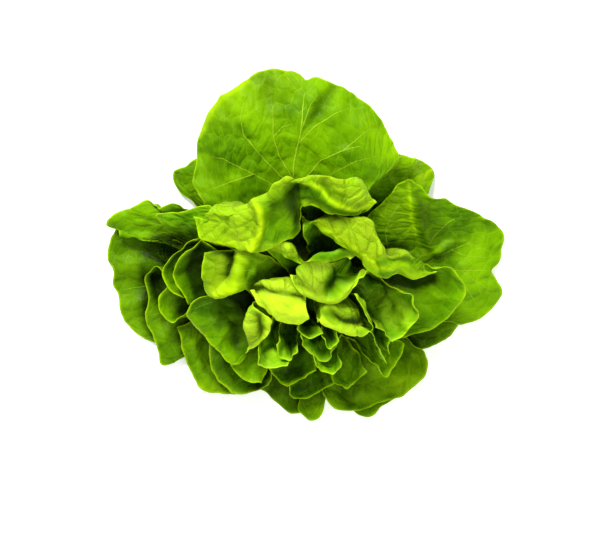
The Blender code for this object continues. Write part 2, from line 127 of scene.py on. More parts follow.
def make_lamp(name, place, size, watts):
    """A square lamp that points at the head."""
    data = bpy.data.lights.new(name, "AREA")
    data.size = size
    data.energy = watts
    lamp = placed(name, data)
    lamp.location = place
    direction = Vector(LAMPS_AIM_AT) - Vector(place)
    lamp.rotation_euler = direction.to_track_quat("-Z", "Y").to_euler()


make_lamp("key_lamp", place=(-0.5, 1.2, 1.5), size=0.6, watts=44)
make_lamp("fill_lamp", place=(0.7, -1.2, 1.3), size=1.2, watts=13)
world = bpy.data.worlds.new("soft_sky")
bpy.context.scene.world = world
world.use_nodes = True
sky = world.node_tree.nodes["Background"]
sky.inputs["Color"].default_value = (1, 1, 1, 1)
sky.inputs["Strength"].default_value = SKY_STRENGTH
bpy.context.scene.view_settings.view_transform = "Standard"
bpy.context.scene.view_settings.look = "Medium High Contrast"
print("lamps:", [lamp.name for lamp in bpy.data.lights])

# %% [markdown]
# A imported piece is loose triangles, each with its own three points. Points that lie at the
# same place are welded into one, and the triangles are renumbered to match. The stem is the
# first piece to be read. Its middle and its axis tell us later which way is out for a leaf.

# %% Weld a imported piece
STEM_AXIS = np.array([0.1986, -0.6113, 0.7660])


def welded(node):
    """The node's points in millimetres, each of them once, and its triangles."""
    mesh = node.data
    points = np.empty(len(mesh.vertices) * 3)
    mesh.vertices.foreach_get("co", points)
    points = points.reshape(-1, 3) / METRES_PER_MM
    mesh.calc_loop_triangles()
    corners = np.empty(len(mesh.loop_triangles) * 3, np.int32)
    mesh.loop_triangles.foreach_get("vertices", corners)
    near = np.round(points, 3)
    _, first, index = np.unique(near, axis=0, return_index=True, return_inverse=True)
    return points[first], index.reshape(-1)[corners.reshape(-1, 3)]


stem_points, _ = welded(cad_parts["stem"])
stem_middle = stem_points.mean(axis=0)
print("stem points:", len(stem_points), "round", stem_middle.round(1))

# %% [markdown]
# In a leaf's welded skin every point has six edges, except at the sheet's corners, where it
# has four or five. That is enough to walk over the skin like a chessboard: from the corner by
# the stem, straight along the base row, and then row by row outwards. One walk gives the face
# towards the heart, and the other gives the back.

# %% Read a leaf back as two grids of points
ROWS_AND_COLUMNS = {240: (9, 11), 162: (8, 8), 112: (7, 6)}
EDGES_INSIDE, EDGES_AT_CORNER, EDGES_AT_OTHER_CORNER = 6, 4, 5


def straight_path(around, third, start, second):
    """The points passed on a straight walk over the skin, up to a corner."""
    path = [start, second]
    while len(around[path[-1]]) == EDGES_INSIDE:
        step = path[-2]
        for _ in range(EDGES_INSIDE // 2):
            step = third[path[-1], step]
        path.append(step)
    return path


def read_sheet(node):
    """The leaf's face grid and back grid, rows outwards from the stem."""
    points, triangles = welded(node)
    rows, columns = ROWS_AND_COLUMNS[len(points)]
    third, around = {}, {}
    for a, b, c in triangles.tolist():
        third[a, b], third[b, c], third[c, a] = c, a, b
    for a, b in third:
        around.setdefault(a, []).append(b)

    def distance(path):
        return np.linalg.norm(points[path[-1]] - stem_middle)

    corners = [k for k in around if len(around[k]) == EDGES_AT_CORNER]
    sheets = {}
    for corner in sorted(corners, key=lambda k: distance([k]))[:2]:
        paths = [straight_path(around, third, corner, k) for k in around[corner]]
        paths = [path for path in paths if len(around[path[-1]]) == EDGES_AT_OTHER_CORNER]
        base = min((p for p in paths if len(p) == columns + 1), key=distance)
        side = max((p for p in paths if len(p) == rows + 1), key=distance)
        is_face = third[base[0], base[1]] == side[1]
        grid = [base[::-1]]
        for _ in range(rows):
            row = grid[-1]
            pairs = list(zip(row[1:], row[:-1]))
            ahead = [third[pair if is_face else pair[::-1]] for pair in pairs]
            first = (ahead[0], row[0])
            grid.append([third[first if is_face else first[::-1]]] + ahead)
        sheets[is_face] = points[np.array(grid)]
    return sheets[True], sheets[False]


def group_of(name):
    """Outer, middle or heart: the first word of a leaf's name."""
    return name.split("_")[0]


packed = {name: read_sheet(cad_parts[name]) for name in leaf_names}
print("grids read:", {name: face.shape[:2] for name, (face, back) in packed.items()})

# %% [markdown]
# A real leaf has no facets. A smooth curve through the points of each row, and then through
# each column, gives as many points as we like on the same sheet. The curve is the cubic one
# that keeps the slope between a point's two neighbours, which is easy to write for whole
# arrays at once.

# %% Resample a sheet finely
def smooth_through(values, wanted):
    """Reads a smooth curve through the first axis of values, at places 0 to n - 1."""
    slopes = np.gradient(values, axis=0)
    span = np.clip(np.floor(wanted).astype(int), 0, len(values) - 2)
    t = (wanted - span).reshape(-1, *[1] * (values.ndim - 1))
    return (
        (2 * t**3 - 3 * t**2 + 1) * values[span]
        + (t**3 - 2 * t**2 + t) * slopes[span]
        + (3 * t**2 - 2 * t**3) * values[span + 1]
        + (t**3 - t**2) * slopes[span + 1]
    )


def resample(grid, rows, columns):
    """The same sheet as a grid of rows by columns cells."""
    out = smooth_through(grid, np.linspace(0, grid.shape[0] - 1, rows + 1))
    across = smooth_through(out.swapaxes(0, 1), np.linspace(0, grid.shape[1] - 1, columns + 1))
    return across.swapaxes(0, 1)


middles = {name: (face + back) / 2 for name, (face, back) in packed.items()}
print("a sheet of 8 by 8 cells:", resample(middles[leaf_names[0]], 8, 8).shape)

# %% [markdown]
# Waves and veins are laid out by measures on the sheet: how far a point is along its row or
# column, and which way the sheet faces there. The CAD sheets also have slight kinks between
# their few points, so the fine grid is evened out a few times by taking each inner point
# half way to the middle of its four neighbours.

# %% Measure and even out a sheet
def lengths(grid, axis):
    """How far each point is from the start of its row or column, along the sheet."""
    steps = np.linalg.norm(np.diff(grid, axis=axis), axis=2)
    return np.concatenate([np.zeros_like(steps.take([0], axis)), np.cumsum(steps, axis)], axis)


def normals_of(grid):
    """The direction that the sheet faces at each point."""
    crossed = np.cross(np.gradient(grid, axis=0), np.gradient(grid, axis=1))
    return crossed / np.maximum(np.linalg.norm(crossed, axis=2, keepdims=True), 1e-9)


def soften(grid, passes):
    """Evens out the sheet, and leaves its base row and its margin in place."""
    for _ in range(passes):
        inner = grid[:-2, 1:-1] + grid[2:, 1:-1] + grid[1:-1, :-2] + grid[1:-1, 2:]
        grid[1:-1, 1:-1] = grid[1:-1, 1:-1] / 2 + inner / 8
    return grid


longest = max(leaf_names, key=lambda name: lengths(middles[name], 0)[-1].max())
print("longest leaf:", longest, round(lengths(middles[longest], 0)[-1].max()), "mm")

# %% [markdown]
# Waves need room. For every point of a sheet we measure how far the nearest other leaf is:
# where leaves lie packed against each other the sheet stays as the CAD made it, and where a
# margin stands free it may ruffle. A search tree for each leaf makes the question quick, and
# leaves whose boxes are out of reach are not asked at all.

# %% Find the room round each point
def sheet_triangles(grid):
    """Two triangles for each cell of a grid."""
    index = np.arange(grid.shape[0] * grid.shape[1]).reshape(grid.shape[:2])
    a, b = index[:-1, :-1].ravel(), index[1:, :-1].ravel()
    c, d = index[1:, 1:].ravel(), index[:-1, 1:].ravel()
    return np.concatenate([np.stack([a, b, c], 1), np.stack([a, c, d], 1)])


trees = {
    name: BVHTree.FromPolygons(grid.reshape(-1, 3).tolist(), sheet_triangles(grid).tolist())
    for name, grid in middles.items()
}


def room_round(name, grid, reach):
    """The distance from each point to the nearest other leaf, up to reach."""
    points = grid.reshape(-1, 3)
    low, high = points.min(axis=0) - reach, points.max(axis=0) + reach
    room = np.full(len(points), float(reach))
    for other, tree in trees.items():
        box = middles[other].reshape(-1, 3)
        if other == name or (box.min(axis=0) > high).any() or (box.max(axis=0) < low).any():
            continue
        for k, point in enumerate(points.tolist()):
            found = tree.find_nearest(point, room[k])
            if found[3] is not None:
                room[k] = found[3]
    return room.reshape(grid.shape[:2])


print("least room round", longest, room_round(longest, middles[longest], 6).min().round(2), "mm")

# %% [markdown]
# Between its veins the blade of a butterhead is puffed up like a quilt. The seams are the
# lines between scattered points: where the nearest and the next nearest point are equally
# far, there is a seam. The ruffles of the margin are a few sine waves with random lengths
# and starts. Each leaf has its own seeded random numbers, so every run gives the same head.

# %% Make quilting and waves
SCATTER = 0.42


def quilt(flat, spacing, random):
    """How far each flat point stands from the seams of a net of cells about spacing wide."""
    low, high = flat.reshape(-1, 2).min(axis=0), flat.reshape(-1, 2).max(axis=0)
    xs = np.arange(low[0] - spacing, high[0] + 2 * spacing, spacing)
    ys = np.arange(low[1] - spacing, high[1] + 2 * spacing, spacing)
    seeds = np.stack(np.meshgrid(xs, ys), axis=-1).reshape(-1, 2)
    seeds = seeds + random.uniform(-SCATTER, SCATTER, seeds.shape) * spacing
    tree = kdtree.KDTree(len(seeds))
    for k, seed in enumerate(seeds.tolist()):
        tree.insert((*seed, 0), k)
    tree.balance()
    gaps = []
    for x, y in flat.reshape(-1, 2).tolist():
        near, far = tree.find_n((x, y, 0), 2)
        gaps.append(far[2] - near[2])
    return np.array(gaps).reshape(flat.shape[:2])


def waves(place, wavelengths, random):
    """The mean of a few sine waves along place, from -1 to 1."""
    total = np.zeros_like(place)
    for wavelength in wavelengths:
        phase, size = random.uniform(0, 2 * math.pi), random.uniform(0.6, 1)
        total += size * np.sin(2 * math.pi * place / wavelength + phase)
    return total / len(wavelengths)


sample_wave = waves(np.linspace(0, 50, 101), (13, 26), np.random.default_rng(1))
print("a sample wave runs from", sample_wave.min().round(2), "to", sample_wave.max().round(2))

# %% [markdown]
# The veins of three leaves stand out in the photograph, so they are read off it. The table
# has a line for each vein: how thick it is, and the points that it passes, as x and y in
# millimetres of the plan. The small reader turns such a table into lists, and a later table
# of folds and shades uses it too.

# %% List the veins that the photograph shows
def read_table(table):
    """Lines of 'words: x y, x y' below each leaf's name, as {leaf: [(words, points)]}."""
    rows = {}
    for line in table.replace(",\n", ",").strip().split("\n"):
        if ":" in line:
            words, points = line.split(":")
            points = [tuple(float(v) for v in point.split()) for point in points.split(",")]
            rows[leaf].append((words.split(), points))
        else:
            leaf = line.strip()
            rows[leaf] = []
    return rows


DRAWN_VEINS = read_table("""
outer_leaf_back
1.7: -12.7 42.8, -13.6 68.4, -13.6 84.9, -13.3 97.7, -8.5 119.6, -7.2 134.3, -6 147.1
0.85: -13.6 68.4, -14.6 88.5, -23.7 103.2, -27.7 116, -27.9 134.3, -29.2 145.3
0.85: -13.3 57.4, -16.4 83, -33.8 100.4, -48.4 117.8, -50.3 130.6, -48.4 139.8
0.68: -12.9 50.1, -21 79.4, -41.1 90.4, -63.1 101.3, -75.9 103.2
0.51: -41.1 90.4, -57.6 84.9, -72.2 79.4
0.85: -12.9 53.7, -11.8 79.4, 4.7 99.5, 21.1 106.8, 35.8 110.5
0.68: -10.9 110.5, 1 123.3, 15.6 132.5, 24.8 136.1
0.68: -12.7 46.4, -4.5 75.7, 15.6 92.2, 30.3 99.5, 44.9 103.2
0.42: -8.5 119.6, -2.7 136.1, 2.8 145.3
0.42: -27.7 116, -21 123.3, -13.6 125.1
0.51: 21.1 106.8, 34 117.8, 41.3 123.3
outer_leaf_right
0.9: 12 29.9, 34 29, 57.8 27.2, 74.2 24.5, 92.5 23.5, 110.8 23.5, 125.5 23.5
0.4: 74.2 24.5, 87 33.6, 103.5 40.9, 118.2 44.6
0.4: 79.7 24.5, 94.4 15.3, 107.2 11.6, 112.7 2.5
0.3: 66.9 26.3, 77.9 35.4, 83.4 46.4, 94.4 57.4, 107.2 62.9
0.3: 103.5 23.5, 114.5 15.3, 123.7 9.8
0.3: 96.2 38.2, 107.2 33.6, 121.8 32.7
0.4: 52.3 35.4, 50.4 50.1, 54.1 61.1, 61.4 72.1
0.3: 52.3 42.8, 61.4 44.6, 70.6 51.9
middle_leaf_back_wave
0.5: -11.6 84.6, -20.4 78.7, -28.3 72.8, -34.2 67.9
0.5: -12.1 79.7, -20.4 67.9, -24.3 59.1, -25.3 50.3
0.5: -11.6 73.8, -18.5 63, -16.5 56.1, -14.5 51.2
0.5: -9.6 84.6, 0.2 74.8, 6.1 66
0.4: -4.7 82.7, 9 70.9, 19.9 65
""")
print("veins drawn:", {name: len(veins) for name, veins in DRAWN_VEINS.items()})

# %% [markdown]
# Veins follow the surface, so they are worked out in the leaf's own coordinates: out runs
# from 0 at the stem to 1 at the margin, and across from -1 to 1. On the other leaves the
# midrib runs straight out, and side veins leave it on both sides, bend outwards, and fork
# before they reach the margin. Each vein is a chain of points that thins towards its tip.

# %% Lay out the veins by rule
SIDE_VEINS = {240: 4, 162: 3, 112: 2}
VEIN_STEPS = 64
MIDRIB_REACH = 0.96
FORKS = (((0.25, 0.4), 0.4), ((0.5, 0.65), -0.35))
FEWEST_POINTS = 4


def vein_paths(side_veins, random):
    """Veins as (across, out, share of the full thickness) arrays, which never cross."""
    steps = np.linspace(0, 1, VEIN_STEPS)
    sway = random.uniform(-0.04, 0.04)
    midrib = (sway * np.sin(4 * steps), steps * MIDRIB_REACH, (1 - steps) ** 1.2)
    veins = [midrib]
    for side in (-1, 1):
        starts = np.arange(side_veins + 1) + random.uniform(-0.2, 0.2, side_veins + 1)
        starts = np.clip(0.03 + 0.6 * starts / side_veins, 0.02, 0.8)
        climb, bend = random.uniform(0.5, 0.68), random.uniform(1.0, 1.35)
        wiggle = 0.012 * np.sin(steps * random.uniform(9, 14) + random.uniform(0, 6))

        def height(start, away):
            return start + climb * (1 - start) * away**bend + wiggle

        for start, following in zip(starts[:-1], starts[1:]):
            away = random.uniform(0.86, 0.95) * (1 - 0.35 * start) * steps
            out = height(start, away)
            share = 0.45 * (1 - start) * (1 - steps) ** 0.7
            veins.append((side * away + midrib[0] * (1 - steps), out, share))
            above = height(following, away) - out
            for (earliest, latest), turn in FORKS:
                first = int(random.uniform(earliest, latest) * VEIN_STEPS)
                grown = (steps[first:] - steps[first]) / (1 - steps[first])
                branch = out[first:] + turn * above[first:] * grown**0.8
                keep = (branch > 0.02) & (branch < MIDRIB_REACH)
                if keep.sum() > FEWEST_POINTS:
                    thinner = 0.6 * share[first:][keep]
                    veins.append(((side * away[first:])[keep], branch[keep], thinner))
    return veins


print("veins on a large leaf:", len(vein_paths(SIDE_VEINS[240], np.random.default_rng(1))))

# %% [markdown]
# A drawn vein is a line in plan, and the sheet under it is tilted and bent. The line is cut
# into even steps, and each step takes the leaf coordinates of the nearest few points of the
# sheet. The other way round, a place in leaf coordinates lies between four grid points, and
# the nearer ones count for more.

# %% Move lines on to a sheet
NEAREST_POINTS = 4


def drawn_paths(name, grid):
    """Veins that are drawn in plan, moved on to the sheet: (across, out, share) arrays."""
    plan = grid[..., :2].reshape(-1, 2)
    out_at, across_at = np.meshgrid(
        np.linspace(0, 1, grid.shape[0]), np.linspace(-1, 1, grid.shape[1]), indexing="ij"
    )
    steps = np.linspace(0, 1, VEIN_STEPS)
    veins = []
    for (thickness,), line in DRAWN_VEINS[name]:
        line = np.array(line)
        pieces = np.linalg.norm(np.diff(line, axis=0), axis=1)
        reached = np.concatenate([[0], np.cumsum(pieces)])
        spots = np.stack([np.interp(steps * reached[-1], reached, line[:, k]) for k in (0, 1)], 1)
        across, out = [], []
        for spot in spots:
            away = np.linalg.norm(plan - spot, axis=1)
            near = np.argsort(away)[:NEAREST_POINTS]
            weight = 1 / (away[near] + 0.05)
            across.append((across_at.ravel()[near] * weight).sum() / weight.sum())
            out.append((out_at.ravel()[near] * weight).sum() / weight.sum())
        veins.append((np.array(across), np.array(out), float(thickness) * (1 - steps) ** 0.6))
    return veins


def on_sheet(grid, across, out):
    """The points of the sheet at these leaf coordinates, between its grid points."""
    r = np.clip(out, 0, 1) * (grid.shape[0] - 1)
    c = (np.clip(across, -1, 1) + 1) / 2 * (grid.shape[1] - 1)
    r0 = np.minimum(r.astype(int), grid.shape[0] - 2)
    c0 = np.minimum(c.astype(int), grid.shape[1] - 2)
    fr, fc = (r - r0)[:, None], (c - c0)[:, None]
    return (
        grid[r0, c0] * (1 - fr) * (1 - fc) + grid[r0 + 1, c0] * fr * (1 - fc)
        + grid[r0, c0 + 1] * (1 - fr) * fc + grid[r0 + 1, c0 + 1] * fr * fc
    )


middle_of_leaf = on_sheet(middles[longest], np.zeros(1), np.full(1, 0.5))[0]
print("the middle of", longest, "is at", middle_of_leaf.round(1))

# %% [markdown]
# A vein is a path with a changing thickness, which is what Geometry Nodes are good at. The
# tree turns the chain of points into a curve, takes its radius from the stored thickness,
# and sweeps a small ring along it. Its inputs scale the thickness and set the ring's sides.
# It ends by making real geometry of the result and giving it the vein's finish.

# %% Build the vein tree
def new_sockets(tree, in_out, sockets):
    """Adds named sockets to a group, and gives their identifiers."""
    made = [
        tree.interface.new_socket(label, in_out=in_out, socket_type="NodeSocket" + kind)
        for label, kind in sockets
    ]
    return [socket.identifier for socket in made]


def make_vein_tree():
    """The tree, and the identifiers of its inputs."""
    tree = bpy.data.node_groups.new("grow_veins", "GeometryNodeTree")
    inputs = [
        ("Geometry", "Geometry"), ("Thickness", "Float"),
        ("Ring Sides", "Int"), ("Material", "Material"),
    ]
    identifiers = new_sockets(tree, "INPUT", inputs)
    new_sockets(tree, "OUTPUT", [("Geometry", "Geometry")])
    start, end, stored, scale, to_curve, ring, sweep, realize, paint = (
        tree.nodes.new(kind) for kind in (
            "NodeGroupInput", "NodeGroupOutput", "GeometryNodeInputNamedAttribute",
            "ShaderNodeMath", "GeometryNodeMeshToCurve", "GeometryNodeCurvePrimitiveCircle",
            "GeometryNodeCurveToMesh", "GeometryNodeRealizeInstances", "GeometryNodeSetMaterial",
        )
    )
    stored.data_type = "FLOAT"
    stored.inputs["Name"].default_value = "vein_radius"
    scale.operation = "MULTIPLY"
    ring.inputs["Radius"].default_value = 1.0
    sweep.inputs["Fill Caps"].default_value = True
    for source, sink in (
        (start.outputs["Geometry"], to_curve.inputs["Mesh"]),
        (stored.outputs["Attribute"], scale.inputs[0]),
        (start.outputs["Thickness"], scale.inputs[1]),
        (scale.outputs[0], sweep.inputs["Scale"]),
        (start.outputs["Ring Sides"], ring.inputs["Resolution"]),
        (to_curve.outputs["Curve"], sweep.inputs["Curve"]),
        (ring.outputs["Curve"], sweep.inputs["Profile Curve"]),
        (sweep.outputs["Mesh"], realize.inputs["Geometry"]),
        (realize.outputs["Geometry"], paint.inputs["Geometry"]),
        (start.outputs["Material"], paint.inputs["Material"]),
        (paint.outputs["Geometry"], end.inputs["Geometry"]),
    ):
        tree.links.new(source, sink)
    return tree, dict(zip(("geometry", "thickness", "sides", "finish"), identifiers))


vein_tree, vein_inputs = make_vein_tree()
print("vein tree inputs:", vein_inputs)

# %% [markdown]
# Materials are built from a few steps that come again and again: a sum or product, a soft
# ramp, a mix of two colours, and a value that is stored on the mesh. Each gets a helper that
# adds the node and gives back its output, so that a material reads like a recipe.

# %% Helpers for node trees
def math_node(tree, operation, *values, clamp=False):
    """The output of a Math node whose inputs are numbers or other nodes' outputs."""
    node = tree.nodes.new("ShaderNodeMath")
    node.operation = operation
    node.use_clamp = clamp
    for socket, value in zip(node.inputs, values):
        if isinstance(value, (int, float)):
            socket.default_value = value
        else:
            tree.links.new(value, socket)
    return node.outputs[0]


def ramp_between(tree, value, low, high):
    """0 below low, 1 above high and smooth between, or the other way if low is the higher."""
    node = tree.nodes.new("ShaderNodeMapRange")
    node.interpolation_type = "SMOOTHSTEP"
    tree.links.new(value, node.inputs["Value"])
    node.inputs["From Min"].default_value = low
    node.inputs["From Max"].default_value = high
    return node.outputs["Result"]


def mixed(tree, mask, first, second):
    """The first colour where the mask is 0, and the second where it is 1."""
    node = tree.nodes.new("ShaderNodeMix")
    node.data_type = "RGBA"
    sockets = [s for s in node.inputs if s.enabled]
    tree.links.new(mask, sockets[0])
    for socket, value in zip(sockets[1:], (first, second)):
        if isinstance(value, tuple):
            socket.default_value = (*value, 1)
        else:
            tree.links.new(value, socket)
    return [s for s in node.outputs if s.enabled][0]


def stored_value(tree, name):
    """A number that is stored on the mesh under this name."""
    node = tree.nodes.new("ShaderNodeAttribute")
    node.attribute_name = name
    return node.outputs["Fac"]


def new_group(name, inputs, outputs):
    """A shader group with its sockets, its input node and its output node."""
    group = bpy.data.node_groups.new(name, "ShaderNodeTree")
    new_sockets(group, "INPUT", inputs)
    new_sockets(group, "OUTPUT", outputs)
    return group, group.nodes.new("NodeGroupInput"), group.nodes.new("NodeGroupOutput")


print("helpers:", [helper.__name__ for helper in (math_node, ramp_between, mixed, stored_value)])

# %% [markdown]
# A lettuce leaf is divided into small panels by a net of fine veins. All the leaf materials
# use this net at two sizes, so it is a group of its own. A Voronoi pattern gives the
# distance to the nearest seam, and a little noise bends the seams. The group gives thin lines
# along the seams, and a height that rises from a seam to the middle of its panel.

# %% Build the net of fine veins
def make_net_group():
    """Lines along the seams of small panels, and the height of the quilted panels."""
    group, start, end = new_group(
        "vein_net",
        [("Vector", "Vector"), ("Panels", "Float"), ("Line Width", "Float")],
        [("Lines", "Float"), ("Height", "Float")],
    )
    warp = group.nodes.new("ShaderNodeTexNoise")
    warp.inputs["Scale"].default_value = 9
    group.links.new(start.outputs["Vector"], warp.inputs["Vector"])
    bent = group.nodes.new("ShaderNodeVectorMath")
    bent.operation = "MULTIPLY_ADD"
    group.links.new(warp.outputs["Color"], bent.inputs[0])
    bent.inputs[1].default_value = (0.05, 0.05, 0)
    group.links.new(start.outputs["Vector"], bent.inputs[2])
    cells = group.nodes.new("ShaderNodeTexVoronoi")
    cells.voronoi_dimensions = "2D"
    cells.feature = "DISTANCE_TO_EDGE"
    group.links.new(bent.outputs[0], cells.inputs["Vector"])
    group.links.new(start.outputs["Panels"], cells.inputs["Scale"])
    from_seam = cells.outputs["Distance"]
    width = math_node(group, "DIVIDE", from_seam, start.outputs["Line Width"])
    lines = math_node(group, "SUBTRACT", 1, width, clamp=True)
    group.links.new(lines, end.inputs["Lines"])
    group.links.new(ramp_between(group, from_seam, 0, 0.28), end.inputs["Height"])
    return group


net_group = make_net_group()
print("net group nodes:", len(net_group.nodes))

# %% [markdown]
# No leaf has the same green all over. The second shared effect is a mask of soft blotches,
# which comes from one noise with its middle values spread out. Slow blotches vary the green
# over centimetres, and quick ones speckle it.

# %% Build the blotches
def make_blotch_group():
    """A mask of soft blotches from 0 to 1."""
    group, start, end = new_group(
        "leaf_blotches", [("Vector", "Vector"), ("Scale", "Float")], [("Mask", "Float")]
    )
    cloud = group.nodes.new("ShaderNodeTexNoise")
    cloud.inputs["Detail"].default_value = 4
    group.links.new(start.outputs["Vector"], cloud.inputs["Vector"])
    group.links.new(start.outputs["Scale"], cloud.inputs["Scale"])
    group.links.new(ramp_between(group, cloud.outputs["Fac"], 0.32, 0.68), end.inputs["Mask"])
    return group


def place_group(tree, group, vector, **values):
    """The group as a node of this tree, with its values set."""
    node = tree.nodes.new("ShaderNodeGroup")
    node.node_tree = group
    tree.links.new(vector, node.inputs["Vector"])
    for label, value in values.items():
        node.inputs[label.replace("_", " ")].default_value = value
    return node


blotch_group = make_blotch_group()
print("blotch group nodes:", len(blotch_group.nodes))

# %% [markdown]
# One recipe colours all leaves. The face towards the heart is a deeper green, and the back is
# paler, with the net of veins standing out darker. The margin is a thin bright line of painted
# light, for the light that the blade lets through there. The face is painted darker towards its
# base, as shade deep between the leaves, and the back and the root end fade to cream. Seven
# values that are painted on the mesh say where all this is: back, smooth, margin, base, root,
# pale and shade, where pale paints light and shade paints shade.

# %% Mix the colour of a leaf
PAINTED_LIGHT_STRENGTH = 0.8
SHADE_STRENGTH = 0.93


def leaf_colour(tree, slow, quick, lines, on_back, greens):
    """The leaf's colour from its masks and its six greens."""
    dark, light, back, line, rim, cream = greens
    # deep is the green of painted shade.
    deep = tuple(0.12 * c for c in dark)
    base = stored_value(tree, "base")
    face = mixed(tree, slow, dark, light)
    face = mixed(tree, math_node(tree, "MULTIPLY", quick, 0.3), face, light)
    face = mixed(tree, math_node(tree, "MULTIPLY", lines, 0.2), face, line)
    # Painted shade: the face darkens to deep green towards its base, where little light gets in between the
    # leaves.
    face = mixed(tree, base, face, deep)
    rear = mixed(tree, math_node(tree, "MULTIPLY", slow, 0.5), back, light)
    rear = mixed(tree, math_node(tree, "MULTIPLY", lines, 0.55), rear, dark)
    rear = mixed(tree, base, rear, cream)
    # Painted light: pale lifts the colour towards the rim green. Painted shade: shade sinks it to deep
    # green.
    pale = math_node(tree, "MULTIPLY", stored_value(tree, "pale"), PAINTED_LIGHT_STRENGTH)
    shade = math_node(tree, "MULTIPLY", stored_value(tree, "shade"), SHADE_STRENGTH)
    colour = mixed(tree, on_back, face, rear)
    colour = mixed(tree, pale, colour, rim)
    colour = mixed(tree, shade, colour, deep)
    # Painted light: the thin bright margin stands for light that comes through the blade.
    colour = mixed(tree, stored_value(tree, "margin"), colour, rim)
    return mixed(tree, stored_value(tree, "root"), colour, cream)


print("the deepest shade keeps", round(1 - SHADE_STRENGTH, 2), "of the green under it")

# %% [markdown]
# The blade is also soft and a little waxy: it scatters some light under its skin, and its
# gloss is broken by tiny panels, the net and a crumple that gets stronger towards the heart.
# The relief goes through one Bump node, and it is stronger on the back of the leaf.

# %% Make the leaf materials
CRUMPLED = {"outer": 1.1, "middle": 2.0, "heart": 2.2}
# For each group of leaves: dark, light, back, line, rim and cream.
LEAF_GREENS = {
    "outer": ((0.07, 0.18, 0.0005), (0.20, 0.40, 0.001), (0.24, 0.42, 0.008),
              (0.34, 0.56, 0.01), (0.42, 0.64, 0.004), (0.66, 0.72, 0.30)),
    "middle": ((0.07, 0.21, 0.0005), (0.22, 0.45, 0.001), (0.32, 0.49, 0.012),
               (0.38, 0.60, 0.02), (0.52, 0.76, 0.008), (0.68, 0.74, 0.32)),
    "heart": ((0.07, 0.22, 0.002), (0.24, 0.49, 0.003), (0.36, 0.54, 0.02),
              (0.44, 0.66, 0.05), (0.60, 0.85, 0.03), (0.70, 0.76, 0.34)),
}


def make_leaf_material(group):
    """The finish of the outer, middle or heart leaves."""
    material, tree, shader = new_material(
        group + "_leaf_green", Specular_IOR_Level=0.06, Subsurface_Weight=0.12,
        Subsurface_Radius=(0.6, 1.0, 0.1), Subsurface_Scale=0.002,
    )
    place = tree.nodes.new("ShaderNodeTexCoord").outputs["Object"]
    flat = tree.nodes.new("ShaderNodeUVMap")
    flat.uv_map = "blade"
    slow = place_group(tree, blotch_group, place, Scale=28).outputs["Mask"]
    quick = place_group(tree, blotch_group, place, Scale=160).outputs["Mask"]
    net = place_group(tree, net_group, flat.outputs["UV"], Panels=11, Line_Width=0.05)
    fine = place_group(tree, net_group, flat.outputs["UV"], Panels=45, Line_Width=0.1)
    smooth = stored_value(tree, "smooth")
    on_back = math_node(tree, "SUBTRACT", stored_value(tree, "back"), smooth, clamp=True)
    colour = leaf_colour(tree, slow, quick, net.outputs["Lines"], on_back, LEAF_GREENS[group])
    tree.links.new(colour, shader.inputs["Base Color"])
    rough = math_node(tree, "MULTIPLY_ADD", quick, 0.14, 0.36)
    tree.links.new(rough, shader.inputs["Roughness"])

    crumple = tree.nodes.new("ShaderNodeTexNoise")
    crumple.inputs["Scale"].default_value = 120
    crumple.inputs["Detail"].default_value = 3
    tree.links.new(place, crumple.inputs["Vector"])
    height = math_node(tree, "MULTIPLY_ADD", fine.outputs["Height"], 0.2, net.outputs["Height"])
    height = math_node(tree, "MULTIPLY_ADD", crumple.outputs["Fac"], CRUMPLED[group], height)
    bump = tree.nodes.new("ShaderNodeBump")
    bump.inputs["Distance"].default_value = 0.0007
    tree.links.new(height, bump.inputs["Height"])
    tree.links.new(math_node(tree, "MULTIPLY_ADD", on_back, 0.5, 0.5), bump.inputs["Strength"])
    tree.links.new(bump.outputs["Normal"], shader.inputs["Normal"])
    return material


leaf_finish = {group: make_leaf_material(group) for group in LEAF_GREENS}
print("leaf materials:", [material.name for material in leaf_finish.values()])

# %% [markdown]
# The veins are paler than the blade and a little see-through, like wet thread. Where the leaf
# under them is painted dark, they darken too, or they would glow in the shadows.

# %% Make the vein materials
VEIN_GREENS = {"outer": (0.38, 0.58, 0.03), "middle": (0.38, 0.58, 0.03), "heart": (0.40, 0.60, 0.04)}


def make_vein_material(group):
    """The finish of the veins on the outer, middle or heart leaves."""
    colour = VEIN_GREENS[group]
    material, tree, shader = new_material(
        group + "_vein_green", Roughness=0.42, Specular_IOR_Level=0.06,
        Subsurface_Weight=0.1, Subsurface_Scale=0.002,
    )
    place = tree.nodes.new("ShaderNodeTexCoord").outputs["Object"]
    blotches = place_group(tree, blotch_group, place, Scale=60).outputs["Mask"]
    tinted = mixed(tree, blotches, colour, tuple(0.72 * c for c in colour))
    hidden = math_node(tree, "MULTIPLY", stored_value(tree, "shade"), SHADE_STRENGTH)
    tinted = mixed(tree, hidden, tinted, tuple(0.04 * c for c in colour))
    tree.links.new(tinted, shader.inputs["Base Color"])
    return material


vein_finish = {group: make_vein_material(group) for group in VEIN_GREENS}
print("vein materials:", [material.name for material in vein_finish.values()])
